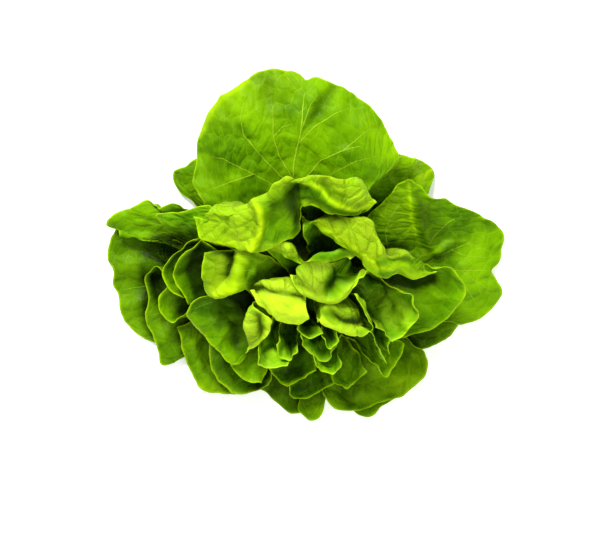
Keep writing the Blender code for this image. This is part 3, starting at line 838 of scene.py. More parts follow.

# %% [markdown]
# Single leaves differ from the rest in what the photograph shows of them: a fold, a dent, a
# crest in light or a hollow in shade. Each is a stroke in this table. Rise lifts the sheet
# towards the viewer by so many millimetres, pull moves it by x/y/z, the two painting kinds
# lighten it with painted light and darken it with painted shade, and smooth paints the back like
# a face. Then come the width of the stroke and, after the colon, its points in plan, in
# millimetres. A closed line fills its inside.

# %% List the strokes for single leaves
STROKES = read_table("""
outer_leaf_back
pull 0/-4/0 4: -4.5 160.8
pull -3/1/0 8: -79.5 83
rise 2.5 7: -31.9 94, -42.9 110.5, -44.8 134.3
rise -2.2 6: -22.8 94, -30.1 116, -31 152.6
rise 2.2 6: -10 94, -4.5 119.6, 4.7 147.1
rise -3.5 3.5: 16.6 154.4, 7.4 139.8, -2.7 121.5, -4.5 112.3
rise 2 7: 6.5 97.7, 26.6 112.3, 39.4 127
rise -2.5 6: -2.7 97.7, 8.3 108.7, 24.8 110.5
rise -2 7: -46.6 90.4, -68.6 99.5, -77.7 101.3
rise -2 5: -24.6 110.5, -17.3 110.5, -13.6 101.3
shade 0.35 6: -31 152.6, -30.1 134.3, -29.2 116
shade 0.45 4: 15.6 152.6, 5.6 138, -3.6 117.8
shade 0.4 6: -22.8 110.5, -19.1 95.8
shade 0.45 7: 1 108.7, 15.6 110.5
shade 0.35 10: -66.7 92.2, -39.3 86.7
shade 0.4 7: -41.1 101.3, -22.8 90.4
pale 0.5 2.5: -79.5 117.8, -75.9 125.1, -68.6 138, -57.6 147.1, -46.6 154.4
pale 0.2 16: -66.7 134.3, -46.6 147.1, -21 154.4
pale 0.12 10: 41.3 123.3, 52.3 108.7
middle_leaf_back_wave
smooth 1 1.2: -39.6 74.3, -34.2 79.2, -24.3 84.8, -9.6 87.8, -1.3 86.4, 6.1 80.7, 14 71.9, 24.8 67,
    33.6 67.9, 31.6 64, 22.8 62, 13 61.6, 5.1 64, -1.8 68.9, -6.7 71.4, -9.6 68.9, -9.1 54.2,
    -14.5 48.3, -24.3 43.9, -34.2 44.4, -42 37.5, -38.1 48.3, -35.2 58.1, -38.1 66, -39.6 74.3
rise -4.5 7: -13.1 77.8, -15.5 70.9, -20.4 63, -24.3 55.2
pull 0/-5/-1 5: -8.6 90.6
pull 0/-8/-2 8: -74.6 73.3, -60 73.3
pull 0/-5/0 6: -59.8 70.9, -46.4 73.6, -36.6 77.1
shade 0.42 1.2: -4 82.3, 3.6 75.4, 11.9 68.5, 24.4 64.7, 32.7 65.7, 29.9 62.9, 17.5 60.8, 2.2 63.6,
    -6.1 69.8, -4 82.3
shade 0.38 2.5: -32.4 78.1, -24.1 83, -10.2 84.4, -8.1 71.9, -10.9 53.9, -24.1 49.1, -29.6 52.5,
    -26.8 66.4, -32.4 78.1
rise 4 3.2: -39.6 73.8, -36.1 65, -35.2 58.1, -38.1 48.3, -43 38.5
rise -3 3: -44 67.9, -42 58.1, -44 50.3
rise 3.5 4: -4.7 84.6, 5.1 74.8, 16.9 67, 29.7 66
rise -4 3: 7.1 82.7, 15.9 74.8, 23.8 70.9
rise 2 3: 29.7 81.7, 33.6 74.8
pull -8/-3/0 5: 48.3 76.8
pull 0/1/0 5: -45 36.5
pull 0/3/0 7: -7.7 65, 3.2 63
pull -4/4/0 6: -63.6 72.8
rise -1.8 4: -57.7 65, -60.7 55.2, -54.8 46.3
pale 0.7 2.2: -39.6 73.8, -36.1 65, -35.2 58.1, -38.1 48.3, -43 38.5
pale 0.9 1.1: -1.9 84.1, 4.3 79.5, 10.5 74, 18.1 69.1, 25.8 66.7, 35.4 67.5, 42.4 71.6
pale 0.8 1.4: -40.1 73.3, -37.9 77.5, -29.6 82.3, -17.1 86.4, -10.2 86.9, -1.9 84.1
pale 0.5 2.6: -39.3 73.3, -35.8 62.2, -36.5 52.5, -42.1 38.7
pale 0.55 3: -82.3 51.2, -77.4 44.9, -68.5 43.4, -54.8 42.9, -46 37
shade 0.6 5: -11.1 81.7, -13.5 74.8, -14.5 67, -11.1 58.1
shade 0.35 2: -56.8 65, -58.7 58.1, -60.7 51.2
shade 0.25 5: -28.3 75.8, -30.2 67.9
shade 0.5 2: 6.1 82.7, 14 74.3, 22.8 69.4, 30.7 69.9
shade 0.4 2: -41.5 72.8, -39.1 65, -38.1 58.1, -41 48.3
middle_leaf_left_fold
smooth -0.8 2: -78.4 41.4, -60.7 40.4, -56.8 34.5, -60.7 15.9, -66.6 5.1, -76.9 12, -78.4 33.6,
    -78.4 41.4
rise -5.5 4: -57.3 38.5, -57.3 28.6, -61.2 16.9
rise 6 6: -46 36.5, -46 24.7, -53.8 14.9, -62.7 7
pull 0/2/0 5: -66 1.1
pull -1/5/0 6: -56 3.5, -49.5 5.8
pull 3/5/0 7: -42 5.1
pull 0/4/0 8: -30.2 12.9
pale 0.65 7: -48.9 34.5, -49.9 22.8, -55.8 13.9, -64.6 6.5
shade 0.9 3.5: -58.7 39.5, -57.3 30.6, -59.2 20.8
shade 0.45 3.5: -29.6 38.6, -25.4 28.7, -32.2 19.9
shade 0.35 2: -77.3 40.1, -57.3 40.1, -58.7 24.9, -65.6 12.4, -75.3 12.4, -77.3 40.1
heart_leaf_back
shade -1.2 2: -7.5 32.1, 3.6 35.9, 17.5 38.7, 31.3 39.8, 25.8 30.4, 13.3 25.6, 2.2 26.2, -7.5 32.1
smooth 1 1.5: -7.5 32.1, 3.6 35.9, 17.5 38.7, 31.3 39.8, 25.8 30.4, 13.3 25.6, 2.2 26.2, -7.5 32.1
pale 0.75 2.4: -4 29.7, 3.6 26.9, 14.7 26.2, 25.8 31.8
shade -0.8 3: -29.6 42.9, -18.5 42.9, -10.2 35.9
pale 0.35 3: -28.2 41.5, -17.1 40.1, -10.2 34.6
heart_leaf_right_cup
smooth 1 2: 11 18.8, 17.9 26.7, 29.7 28.6, 38.5 22.8, 25.7 11, 14.9 3.1, 9 9, 11 18.8
shade 0.95 4: 17.9 24.7, 16.9 15.9, 12 11
shade 0.9 4.5: 30.7 25.7, 23.8 18.8
shade 0.5 3: -4.7 26.7, 5.1 24.7, 13 26.7
rise -6 5: 19.9 24.7, 16.9 15.9, 13 11
shade -0.7 4: 36.6 10.4, 57.1 6, 72.3 -2.9, 68.8 -14.5, 57.1 -21.7, 43.8 -5.6, 36.6 10.4
rise 2.5 4: -10.6 24.7, -4.7 18.8, 1.2 12.9
pull 0/2/0 6: 3.6 2
shade 0.12 3: -15.8 26.2, 14.7 29, 13.3 12.4, 3.6 9.6, -7.5 13.8, -15.8 26.2
rise 2.5 2.5: -16.5 18.8, -9.6 11, 5.1 3.1, 16.9 4.1, 24.8 12, 34.6 19.8
pale 0.6 2: -16.5 18.8, -9.6 11, 5.1 3.1, 16.9 4.1, 24.8 12, 34.6 19.8
pale 0.5 1.6: 34.6 19.8, 43.4 19.8, 52.3 13.9, 60.9 9
shade 0.7 3: 35.8 17.4, 43.9 17.4, 51.9 14.4, 57.3 10.1
pale 0.32 3: 42.5 7.4, 57.3 4.7, 66 -2, 65.3 -12, 55.9 -15.4, 47.9 -6, 42.5 7.4
pull 0/5/0 4: 35.8 16.1
rise -3 5: 42.4 9, 52.3 -0.8, 58.2 -15.6
rise 2.5 4: 52.3 5.1, 64 -5.7, 68 -18.5
middle_leaf_right_fold
smooth 1 1.5: 44.9 29.9, 52.3 29, 66.9 26.3, 83.4 25.4, 88.9 19, 70.6 11.6, 52.3 13.5, 44.9 29.9
rise 2.5 3: 44.9 53.7, 46.8 42.8, 45.9 29.9
rise -3.5 4: 54.1 42.8, 57.8 29.9, 74.2 26.3
shade 0.45 3: 50.4 51.9, 56.8 33.6, 70.6 29
pull 0/7/0 7: 58.9 15.8
smooth 1 1.5: 47.3 31, 75.9 31, 87.5 22.9, 70.5 18.5, 57.1 15.8, 47.3 22.9, 47.3 31
pale 0.25 2.5: 49.1 26.5, 66.1 25.6, 81.3 24.7
shade 0.5 4: 8.3 61.1, 23 59.2, 37.6 61.1
pale 0.6 2: 2.8 57.4, 24.8 42.8, 44.9 26.3, 66.9 19, 85.2 19
heart_leaf_bright
smooth 1 1.5: -47.4 11.8, -33 8.6, -16.9 7.8, -5.6 1.4, -3.2 -7.4, -8.8 -13.1, -26.5 -9.9, -41 -0.2,
    -47.4 11.8
rise 2.5 5: -38.6 1.4, -26.5 -2.6, -13.7 -5.8, -5.6 -5.8
rise -3 3: -41 11.8, -26.5 9, -13.7 6.6, -5.6 1.8
shade 0.75 2.2: -41 11, -26.5 9, -13.7 7.4, -5.6 3
shade 0.38 1.5: -46.2 13.8, -29.6 19.3, -10.2 17.3, -1.2 9.6, -4.7 4.8, -21.3 8, -37.9 9.4, -46.2 13.8
pale 0.55 1.5: -42.1 8.9, -24.1 6.2, -4 2, -1.2 -5.6, -7.5 -11.8, -24.1 -9.7, -37.9 0, -42.1 8.9
heart_leaf_lip
smooth 1 1.5: -0.8 -6.6, 12 -4.2, 16.1 -12.3, 23.3 -16.3, 37.8 -21.1, 41.8 -24.3, 23.3 -25.9, 7.2 -16.3,
    -0.8 -6.6
rise -3 3.5: 14.5 -2.6, 20.1 -10.7, 29.7 -13.9, 36.2 -16.3
shade 0.7 3: 13.7 -1.8, 20.1 -9.9, 31.3 -12.3
shade 0.5 4: 23.3 -2.6, 31.3 -8.2
pale 0.8 3: 1.5 -6.3, 10.5 -13.9, 21.6 -18.7, 36.8 -16.7
shade 0.5 2: -1.9 4.8, 36.8 4.8, 39.6 -12.5, 23 -12.5, 10.5 -6.3, -1.9 4.8
pull 0/4/0 8: 36.8 -21.5
middle_leaf_left_front
rise 3 5: -85 -4.8, -72.2 -21.3, -61.2 -34.1
rise -3.5 5: -63.1 0.7, -53.9 -14, -54.8 -28.6
rise 2.5 4: -70.4 -12.2, -57.6 -7.6, -44.8 -4.8
shade 0.7 5: -61.2 8, -44.8 2.5
shade 0.5 4: -53.9 -15.8, -52.1 -30.5
shade 0.4 8: -79.5 0.7, -66.7 -8.5
outer_leaf_right
rise 5 4.5: 71.5 70.2, 76.1 51.9, 87 37.3, 96.2 42.8
rise -1.5 6: 57.8 68.4, 61.4 53.7, 70.6 39.1
pull -4/0/0 4: 129.1 24.5
pull 2/-2/0 5: 64.2 92.2
rise -2 7: 94.4 61.1, 110.8 53.7, 125.5 51.9
shade 0.28 2.5: 71.4 76.1, 72.8 62.2, 76.3 49.8
pale 0.3 1.2: 61.6 43.5, 68.8 34.6, 75.9 33.2, 83.9 37.7, 92 45.3, 103.6 44.8, 115.2 39
shade 0.3 2.2: 68.8 29.2, 76.8 28.3, 85.7 32.8, 92.9 39.9
pull -1/-4/0 5: 83 77.4
pull 4/1/0 10: 129.9 47.1
pull 3/0/0 8: 129.5 9.6
shade -0.6 5: 46.5 71.9, 63.1 80.2, 64.5 62.2, 67.3 45.6, 52.1 49.8, 46.5 71.9
pale 0.28 5: 46.5 71.9, 63.1 80.2, 64.5 62.2, 67.3 45.6, 52.1 49.8, 46.5 71.9
shade 0.35 5: 56.2 42.9, 68.7 41.5, 77 38.7
shade 0.45 7: 70.6 72.1, 79.7 61.1, 87 50.1
pale 0.65 1.2: 66.6 84.4, 67 71.9, 68 59.5, 71.4 47, 79 35.9
middle_leaf_far_left
rise 2 4: -138.1 61.1, -119.8 64.7, -101.5 61.1
rise -2.2 4: -138.1 51.9, -116.2 51.9, -97.8 44.6
shade 0.5 4: -112.5 46.4, -94.2 42.8
outer_leaf_left
rise 2.5 6: -138.1 31.8, -121.6 28.1, -107 31.8
rise -2.8 6: -136.3 11.6, -121.6 13.5, -112.5 15.3
rise 2.2 6: -132.6 -3, -121.6 0.7
shade 0.45 4: -118.9 24.5, -117.1 6.2, -113.4 -12.2
outer_leaf_left_curled
rise -2.5 4: -109.7 19, -107.9 6.2, -103.3 -10.3
shade 0.6 4: -109.7 19, -107.9 6.2, -103.3 -10.3
rise 2.2 4: -105.2 -21.3, -99.7 -36
outer_leaf_front_left
rise 2.5 5: -85 -28.6, -77.7 -45.1, -70.4 -59.7
rise -2.5 4: -75.9 -28.6, -70.4 -41.4
pale 0.3 6: -75.9 -57.9, -61.2 -61.6
middle_leaf_front_left
rise 2.2 4: -68.6 -30.5, -61.2 -46.9, -53.9 -59.7
rise -2.6 4: -53.9 -36, -46.6 -45.1, -39.3 -56.1
shade 0.45 4: -53.9 -36, -46.6 -45.1, -39.3 -56.1
outer_leaf_front_right
rise 2.6 5: 34 -39.6, 52.3 -48.8, 74.2 -54.3
rise -2.6 5: 57.8 -28.6, 70.6 -39.6
rise -2.2 4: 15.6 -59.7, 26.6 -67.1, 41.3 -68.9
shade 0.4 5: 21.1 -63.4, 26.6 -70.7
pale 0.35 8: 61.4 -56.1, 77.9 -43.3
middle_leaf_front_lip
rise 1.5 1.6: -21.3 -55.3, -16.9 -56.7, -7.2 -52.8, 2.4 -47.6
pale 0.9 1.7: -21.3 -55.3, -16.9 -56.7, -7.2 -52.8, 2.4 -47.6
shade -1.3 1.8: -21.3 -55.3, -16.9 -56.7, -7.2 -52.8, 2.4 -47.6
rise -2 3: -24.9 -46.8, -18.5 -50.8, -10.5 -48.4
shade 0.5 3: -24.9 -46, -16.9 -48.4, -8.8 -45.2
middle_leaf_front_edge
rise -2 3: -10.5 -61.3, -2.4 -58.9, 7.2 -57.3
shade 0.5 3: -13.7 -58.9, -2.4 -56.5, 7.2 -54
heart_leaf_front_left
shade -0.5 2: -44.5 -27.4, -32.7 -26.4, -25.8 -32.3, -18 -42.2, -40.5 -44.1, -44.5 -27.4
pale 0.15 2: -43.5 -29.4, -32.7 -28.4, -27.8 -34.3, -21.9 -42.2, -40.5 -43.6, -43.5 -29.4
rise -2.2 2.2: -34.6 -27.5, -33.4 -35.6, -33 -42.8
shade 0.65 2: -34.6 -27.5, -33.4 -35.6, -33 -42.8
rise 1.6 2.5: -40.2 -32.4, -39.4 -39.6
rise 1.6 2.5: -28.1 -32.4, -26.5 -38.8
heart_leaf_small_left
rise 1.6 2: -22.5 -25.9, -19.3 -37.2
shade 0.7 2: -16.1 -27.5, -13.7 -37.2
heart_leaf_front
shade -0.6 3: -10.1 -29.4, 3.7 -24.5, 13.5 -24.5, 9.5 -35.3, 2.7 -45.1, -6.2 -39.2, -10.1 -29.4
rise 1.6 2.5: -2.4 -29.1, 4 -26.7, 12 -24.3
rise -1.8 2.5: -5.6 -27.5, -0.8 -35.6, 4 -38
shade 0.6 2: -5.6 -27.5, -0.8 -35.6
heart_leaf_front_right
shade -0.4 3: 11.5 -31.4, 19.4 -31.4, 18.4 -45.1, 9.5 -45.1, 11.5 -31.4
rise -1.8 2.5: 7.2 -40.4, 12 -45.2
shade 0.5 2.5: 7.2 -39.6, 15.3 -40.4
heart_leaf_left_strip
rise -2 2.5: -41 -2.6, -37 -12.3, -35.4 -24.3
smooth 1 1.5: -33.8 -6.6, -27.3 -8.2, -29.7 -21.1, -34.6 -27.5, -46.6 -31.5, -41 -25.9, -35.4 -21.1,
    -34.6 -13.1, -33.8 -6.6
shade 0.6 2: -41.8 -2.6, -37.8 -12.3, -36.2 -21.9
pale 0.75 3: -37.9 -1.4, -30.3 -9.7, -31.7 -20.8, -40.7 -29.1
shade 0.45 2.5: -48.3 -9.7, -39.3 -7, -37.2 -19.4, -46.2 -28.4, -48.3 -9.7
outer_leaf_back_right
rise 2 4: 66.9 97.7, 74.2 84.9, 70.6 72.1
pale 0.6 2: 67.8 86.7, 77.9 89.4, 81.9 94.9
pale 0.2 8: 48.6 83, 61.4 90.4
shade -0.7 5: 46.5 96.8, 59 103.7, 83.9 95.4, 82.5 80.2, 64.5 84.4, 46.5 77.5, 46.5 96.8
pale 0.22 5: 46.5 96.8, 59 103.7, 83.9 95.4, 82.5 80.2, 64.5 84.4, 46.5 77.5, 46.5 96.8
middle_leaf_left_inner
shade 1 7: -80.5 37.3, -83.2 24.5, -77.7 13.5
middle_leaf_left_hollow
shade 1 6: -80.5 37.3, -85 24.5, -78.6 13.5
middle_leaf_right
shade 0.9 5: 57.8 19, 70.6 15.3, 83.4 17.1
rise -3 6: 61.4 15.3, 76.1 6.2, 79.7 -8.5
middle_leaf_right_point
shade 0.6 5: 43.1 6.2, 52.3 -3
""")
print("strokes:", sum(len(rows) for rows in STROKES.values()), "on", len(STROKES), "leaves")

# %% [markdown]
# A stroke acts on every point of the sheet near its line, and fades with the distance like a
# bell. A leaf that folds over its own crest has two layers in plan, and its strokes belong
# to the outer one, so they act only beyond the crest.

# %% Lay strokes on a sheet
CREST_AT_MARGIN = 0.88
CREST_BLEND = 0.12


def plan_distance(points, line):
    """How far each point is, in plan, from a line of straight pieces."""
    line = np.array(line)
    nearest = np.linalg.norm(points - line[0], axis=-1)
    for a, b in zip(line[:-1], line[1:]):
        share = np.clip(((points - a) @ (b - a)) / ((b - a) @ (b - a)), 0, 1)
        away = np.linalg.norm(points - a - share[..., None] * (b - a), axis=-1)
        nearest = np.minimum(nearest, away)
    return nearest


def inside(points, line):
    """Which points lie inside a closed line, in plan."""
    odd = np.zeros(points.shape[:-1], bool)
    for (ax, ay), (bx, by) in zip(line[:-1], line[1:]):
        spans = (ay > points[..., 1]) != (by > points[..., 1])
        if ay != by:
            odd ^= spans & (points[..., 0] < ax + (points[..., 1] - ay) * (bx - ax) / (by - ay))
    return odd


def strokes(name, grid, kind):
    """The sum of a leaf's strokes of one kind, at each point of its sheet."""
    total = np.zeros(grid.shape if kind == "pull" else (*grid.shape[:2], 1))
    crest = grid[..., 2].mean(axis=1).argmax() / (len(grid) - 1)
    t = np.linspace(0, 1, len(grid))[:, None]
    beyond = np.clip((t - crest + CREST_BLEND) / CREST_BLEND, 0, 1) if crest < CREST_AT_MARGIN else 1.0
    for (stroke_kind, amount, width), line in STROKES.get(name, []):
        if stroke_kind == kind:
            away = plan_distance(grid[..., :2], line)
            if len(line) > 1 and line[0] == line[-1]:
                away = np.where(inside(grid[..., :2], line), 0, away)
            weight = beyond * np.exp(-((away / float(width)) ** 2))
            total += weight[..., None] * [float(v) for v in amount.split("/")]
    return total if kind == "pull" else total[..., 0]


print("highest rise on", longest, strokes(longest, middles[longest], "rise").max().round(1), "mm")

# %% [markdown]
# Where a sheet stands upright, a plan can't tell one point from another. The leaf behind the
# heart curls there, so its few bends are given in leaf coordinates: how far out and across,
# how far the bend reaches out and across, and which way it goes in millimetres.

# %% Bend the leaf behind the heart
BENDS = {
    "heart_leaf_back": [
        (1.0, -0.5, 0.08, 0.45, (0, -13, -4)),
        (0.86, -0.5, 0.08, 0.5, (1, 6, 5)),
        (0.96, -1.0, 0.14, 0.25, (4, 7, 0)),
    ],
}


def bent(name, t, s):
    """The sum of a leaf's bends at each point of its sheet."""
    total = np.zeros((*np.broadcast(t, s).shape, 3))
    for out, across, out_reach, across_reach, move in BENDS.get(name, []):
        weight = np.exp(-(((t - out) / out_reach) ** 2) - ((s - across) / across_reach) ** 2)
        total += weight[..., None] * move
    return total


print("leaves with bends of their own:", list(BENDS))

# %% [markdown]
# Deep between the leaves little light arrives. From each point we look in sixteen directions
# over the sky, spread like the seeds of a sunflower, and count how many meet a leaf within
# 45 mm. That share darkens the painted shade, less in the heart, whose thin leaves glow.

# %% Find how closed in each point is
SKY_DIRECTIONS = 16
GOLDEN_ANGLE = 2.39996
LOWEST_CLIMB = 0.2
LOOK_FROM_MM, LOOK_UP_TO_MM = 2.2, 45


def sky_direction(number):
    """One of the directions over the upper half of the sky."""
    climb = LOWEST_CLIMB + (1 - LOWEST_CLIMB) * (number + 0.5) / SKY_DIRECTIONS
    level = math.sqrt(1 - climb**2)
    turn = number * GOLDEN_ANGLE
    return Vector((level * math.cos(turn), level * math.sin(turn), climb))


def all_leaves_tree():
    """One search tree for all the leaves together."""
    points, triangles = [], []
    for grid in middles.values():
        triangles += (sheet_triangles(grid) + len(points)).tolist()
        points += grid.reshape(-1, 3).tolist()
    return BVHTree.FromPolygons(points, triangles)


head_tree = all_leaves_tree()
sky_directions = [sky_direction(number) for number in range(SKY_DIRECTIONS)]


def closed_in(grid):
    """How much of the sky is hidden from each point of a sheet, from 0 to 1."""
    hidden = np.zeros(grid.shape[:2])
    for place in np.ndindex(hidden.shape):
        point = Vector(grid[place])
        for way in sky_directions:
            hit = head_tree.ray_cast(point + way * LOOK_FROM_MM, way, LOOK_UP_TO_MM)
            hidden[place] += hit[0] is not None
    return hidden / SKY_DIRECTIONS


print("sky hidden from", longest, closed_in(middles[longest]).mean().round(2))

# %% [markdown]
# No two neighbours on a real head are alike. A slow noise bends all of space a little, the
# same way for every leaf, so that neighbours bend together and never meet. It fades to
# nothing near the stem, where all the bases come together. The noise needs a seed, or Blender
# takes it from the clock and every run gives another head.

# %% Warp the space round the leaves
WARP_SEED = 5
WARP_MM = 1.9
WARP_SIZES_MM = (17, 6)
STILL_ROUND_STEM_MM, STEM_BLEND_MM = 9, 12
noise.seed_set(WARP_SEED)


def warped(grid):
    """The sheet in the warped space."""
    from_stem = grid - stem_middle
    from_stem = from_stem - (from_stem @ STEM_AXIS)[..., None] * STEM_AXIS
    away = np.linalg.norm(from_stem, axis=2)
    amount = np.clip((away - STILL_ROUND_STEM_MM) / STEM_BLEND_MM, 0, 1)
    slow, quick = WARP_SIZES_MM
    moved = np.empty_like(grid)
    for place in np.ndindex(grid.shape[:2]):
        point = Vector(grid[place])
        shift = WARP_MM * noise.noise_vector(point / slow) + WARP_MM / 3 * noise.noise_vector(point / quick)
        moved[place] = point + shift * amount[place]
    return moved


warp_seen = np.linalg.norm(warped(middles[longest]) - middles[longest], axis=2)
print("the warp moves", longest, "by up to", warp_seen.max().round(1), "mm")

# %% [markdown]
# Before a leaf gets its waves, its sheet is resampled to cells of a millimetre and a half,
# and measured. The flat coordinates lay the sheet out on a table, in millimetres, for the
# quilting and the net of veins. The distance to the margin tells where the ruffles are.

# %% Lay out a fine sheet
CELL_MM = 1.5
FEWEST_CELLS = 18
SOFTENING_PASSES = 4


def fine_sheet(name):
    """The leaf's middle sheet as a fine grid, and its coordinates t outwards and s across."""
    middle = middles[name]
    sizes = lengths(middle, 0)[-1].max(), lengths(middle, 1)[:, -1].max()
    rows, columns = (max(FEWEST_CELLS, round(size / CELL_MM)) for size in sizes)
    grid = soften(resample(middle, rows, columns), SOFTENING_PASSES)
    t = np.linspace(0, 1, rows + 1)[:, None]
    s = np.linspace(-1, 1, columns + 1)[None, :]
    return grid + bent(name, t, s), t, s


def measured(grid):
    """Each point's flat coordinates and distance to the margin, and the greatest width."""
    out, along = lengths(grid, 0), lengths(grid, 1)
    width = along[:, -1:]
    mean_out = np.broadcast_to(out.mean(axis=1, keepdims=True), out.shape)
    flat = np.stack([along - width / 2, mean_out], -1)
    to_margin = np.minimum(out[-1:] - out, np.minimum(along, width - along))
    return flat, to_margin, width.max()


print("cells on", longest, [n - 1 for n in fine_sheet(longest)[0].shape[:2]])

# %% [markdown]
# Now the sheet takes its shape. The ruffles, the quilting and the lumps move it along its own
# normal, and they are held back where a neighbour is close. Then come the strokes of this
# leaf, and the warp of space. Last, the margin is nibbled in and out a little, and what
# would sink below the table is lifted on to it. Outer leaves have the smoothest margins.

# %% Shape one sheet
BLADE_MM = 0.6
RUFFLE_MM, RUFFLE_REACH_MM = 1.5, 9
LONG_WAVES_MM, SHORT_WAVES_MM, NIBBLES_MM = (13, 26), (6, 9), (5, 14)
QUILT_MM, QUILT_CELL_MM, SEAM_MM = 0.45, 11, 6
LUMP_SIZE_MM = 7.5
LUMP_MM = {"outer": 0.75, "middle": 1.1, "heart": 1.3}
CRISPNESS = {"outer": 0.45, "middle": 0.6, "heart": 0.6}
SHADE_OF_DEPTH = {"outer": 1.0, "middle": 0.85, "heart": 0.62}
LEAST_ROOM_MM, ROOM_BLEND_MM, ROOM_LOOKED_FOR_MM = 1.2, 4, 6
ABOVE_TABLE_MM = 0.05


def shaped_sheet(name):
    """The leaf's shaped sheet, its measures, its painted values and its random numbers."""
    random = np.random.default_rng(zlib.crc32(name.encode()))
    group = group_of(name)
    grid, t, s = fine_sheet(name)
    flat, to_margin, widest = measured(grid)
    room = room_round(name, grid, ROOM_LOOKED_FOR_MM)
    free = np.clip((room - LEAST_ROOM_MM) / ROOM_BLEND_MM, 0, 1)
    rising = np.clip(t * 3, 0, 1)
    normal = normals_of(grid)

    round_margin = s * (widest / 2 + (1 - t) * lengths(middles[name], 0)[-1].max())
    ruffle = waves(round_margin, random.uniform(*LONG_WAVES_MM, 3), random)
    small = waves(round_margin, random.uniform(*SHORT_WAVES_MM, 2), random)
    ruffle = ruffle + 0.35 * CRISPNESS[group] * small
    shift = RUFFLE_MM * ruffle * np.exp(-to_margin / RUFFLE_REACH_MM) * np.clip(t * 2 - 0.4, 0, 1)
    puff = np.clip(quilt(flat, QUILT_CELL_MM, random) / SEAM_MM, 0, 1)
    shift = shift - QUILT_MM * (puff - 0.5) * rising
    lumps = [noise.noise(Vector(point) / LUMP_SIZE_MM) for point in grid.reshape(-1, 3)]
    lumps = np.array(lumps).reshape(room.shape)
    shift = (shift + LUMP_MM[group] * lumps * rising) * free + 0.35 * lumps
    shift = shift + strokes(name, grid, "rise") * np.where(normal[..., 2] < 0, -1, 1)

    # Painted light (pale) and painted shade from the strokes, and more painted shade where the sky is
    # closed in.
    paint = {kind: strokes(name, grid, kind) for kind in ("pale", "shade", "smooth")}
    paint["shade"] += SHADE_OF_DEPTH[group] * np.clip(closed_in(grid) * 1.8 - 0.4, 0, 1)
    grid = warped(grid + normal * shift[..., None] + strokes(name, grid, "pull"))
    nibble = waves(round_margin, random.uniform(*NIBBLES_MM, 4), random)[-1]
    grid[-1] += (grid[-2] - grid[-1]) * (0.35 * CRISPNESS[group] * nibble)[:, None]
    grid[..., 2] = np.maximum(grid[..., 2], BLADE_MM / 2 + ABOVE_TABLE_MM)
    return grid, flat, to_margin, t, s, paint, random


print("shaping values:", {"ruffle": RUFFLE_MM, "quilt": QUILT_MM, "lumps": LUMP_MM})

# %% [markdown]
# A blade is a closed shell: one layer of points for the face, one for the back, and a ring
# of points between them that rounds the rim. It thins towards the margin, and along the
# middle of the back it has a keel, the thick midrib, that fades outwards.

# %% Make the shell of a blade
KEEL_MM = {240: 0.9, 162: 0.5, 112: 0.2}
KEEL_WIDTH = 0.26
THINNING_MM = 2.0
THINNEST = 0.65


def shell_faces(shape):
    """The quads of a face, a back and a rounded rim, and the edge that they share."""
    count = shape[0] * shape[1]
    index = np.arange(count).reshape(shape)
    quads = np.stack([index[:-1, :-1], index[1:, :-1], index[1:, 1:], index[:-1, 1:]], -1).reshape(-1, 4)
    edge = np.concatenate([index[:-1, 0], index[-1, :-1], index[:0:-1, -1], index[0, :0:-1]])
    after = np.roll(edge, -1)
    ring = 2 * count + np.arange(len(edge))
    ring_after = np.roll(ring, -1)
    rim = np.concatenate([
        np.stack([edge, ring, ring_after, after], 1),
        np.stack([ring, edge + count, after + count, ring_after], 1),
    ])
    return np.concatenate([quads, quads[:, ::-1] + count, rim]), edge


def shell_points(grid, edge, to_margin, keel):
    """The points of the face, of the back and of the rim."""
    normal = normals_of(grid)
    taper = np.clip(to_margin / THINNING_MM, 0, 1) * (1 - THINNEST) + THINNEST
    half = BLADE_MM / 2 * taper
    face_side = grid + normal * half[..., None]
    back_side = grid - normal * (half + keel)[..., None]
    rounded = grid.reshape(-1, 3)[edge]
    tangent = np.roll(rounded, -1, 0) - np.roll(rounded, 1, 0)
    outwards = np.cross(tangent, normal.reshape(-1, 3)[edge])
    outwards /= np.maximum(np.linalg.norm(outwards, axis=1, keepdims=True), 1e-9)
    rounded += outwards * BLADE_MM / 3
    return np.concatenate([face_side.reshape(-1, 3), back_side.reshape(-1, 3), rounded])


def point_count(name):
    """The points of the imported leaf: 240, 162 or 112 for a large, middling or small one."""
    return 2 * middles[name][..., 0].size


print("faces on the shell of a 2 by 2 sheet:", len(shell_faces((3, 3))[0]))

# %% [markdown]
# The materials need to know where on the leaf they are. Each value is a number a point: how
# near the margin, how near the base and the root, and how much painted light and painted shade
# it gets. A small table gives some leaves painted light as a whole, and others painted shade,
# for how the light falls on them.

# %% Paint one blade
RIM_MM = {"outer": 0.7, "middle": 1.0, "heart": 1.1}
BASE_REACH, ROOT_REACH = 0.45, 0.16
# Whole leaves given painted light, and painted shade where the number is below nought.
PAINTED_LEAF_LIGHT = {
    "heart_leaf_bright": 0.4, "heart_leaf_left_strip": 0.2, "heart_leaf_lip": 0.1,
    "middle_leaf_far_left": -0.25, "middle_leaf_front_left": -0.2, "middle_leaf_left_cup": -0.2,
    "middle_leaf_left_fold": 0.1, "middle_leaf_left_front": -0.2,
    "middle_leaf_left_hollow": -0.3, "middle_leaf_left_inner": -0.3,
    "outer_leaf_back_left": -0.15, "outer_leaf_front": 0.1, "outer_leaf_front_left": -0.15,
    "outer_leaf_front_right": 0.1, "outer_leaf_front_tip": 0.12, "outer_leaf_left": -0.3,
    "outer_leaf_left_curled": -0.22,
}


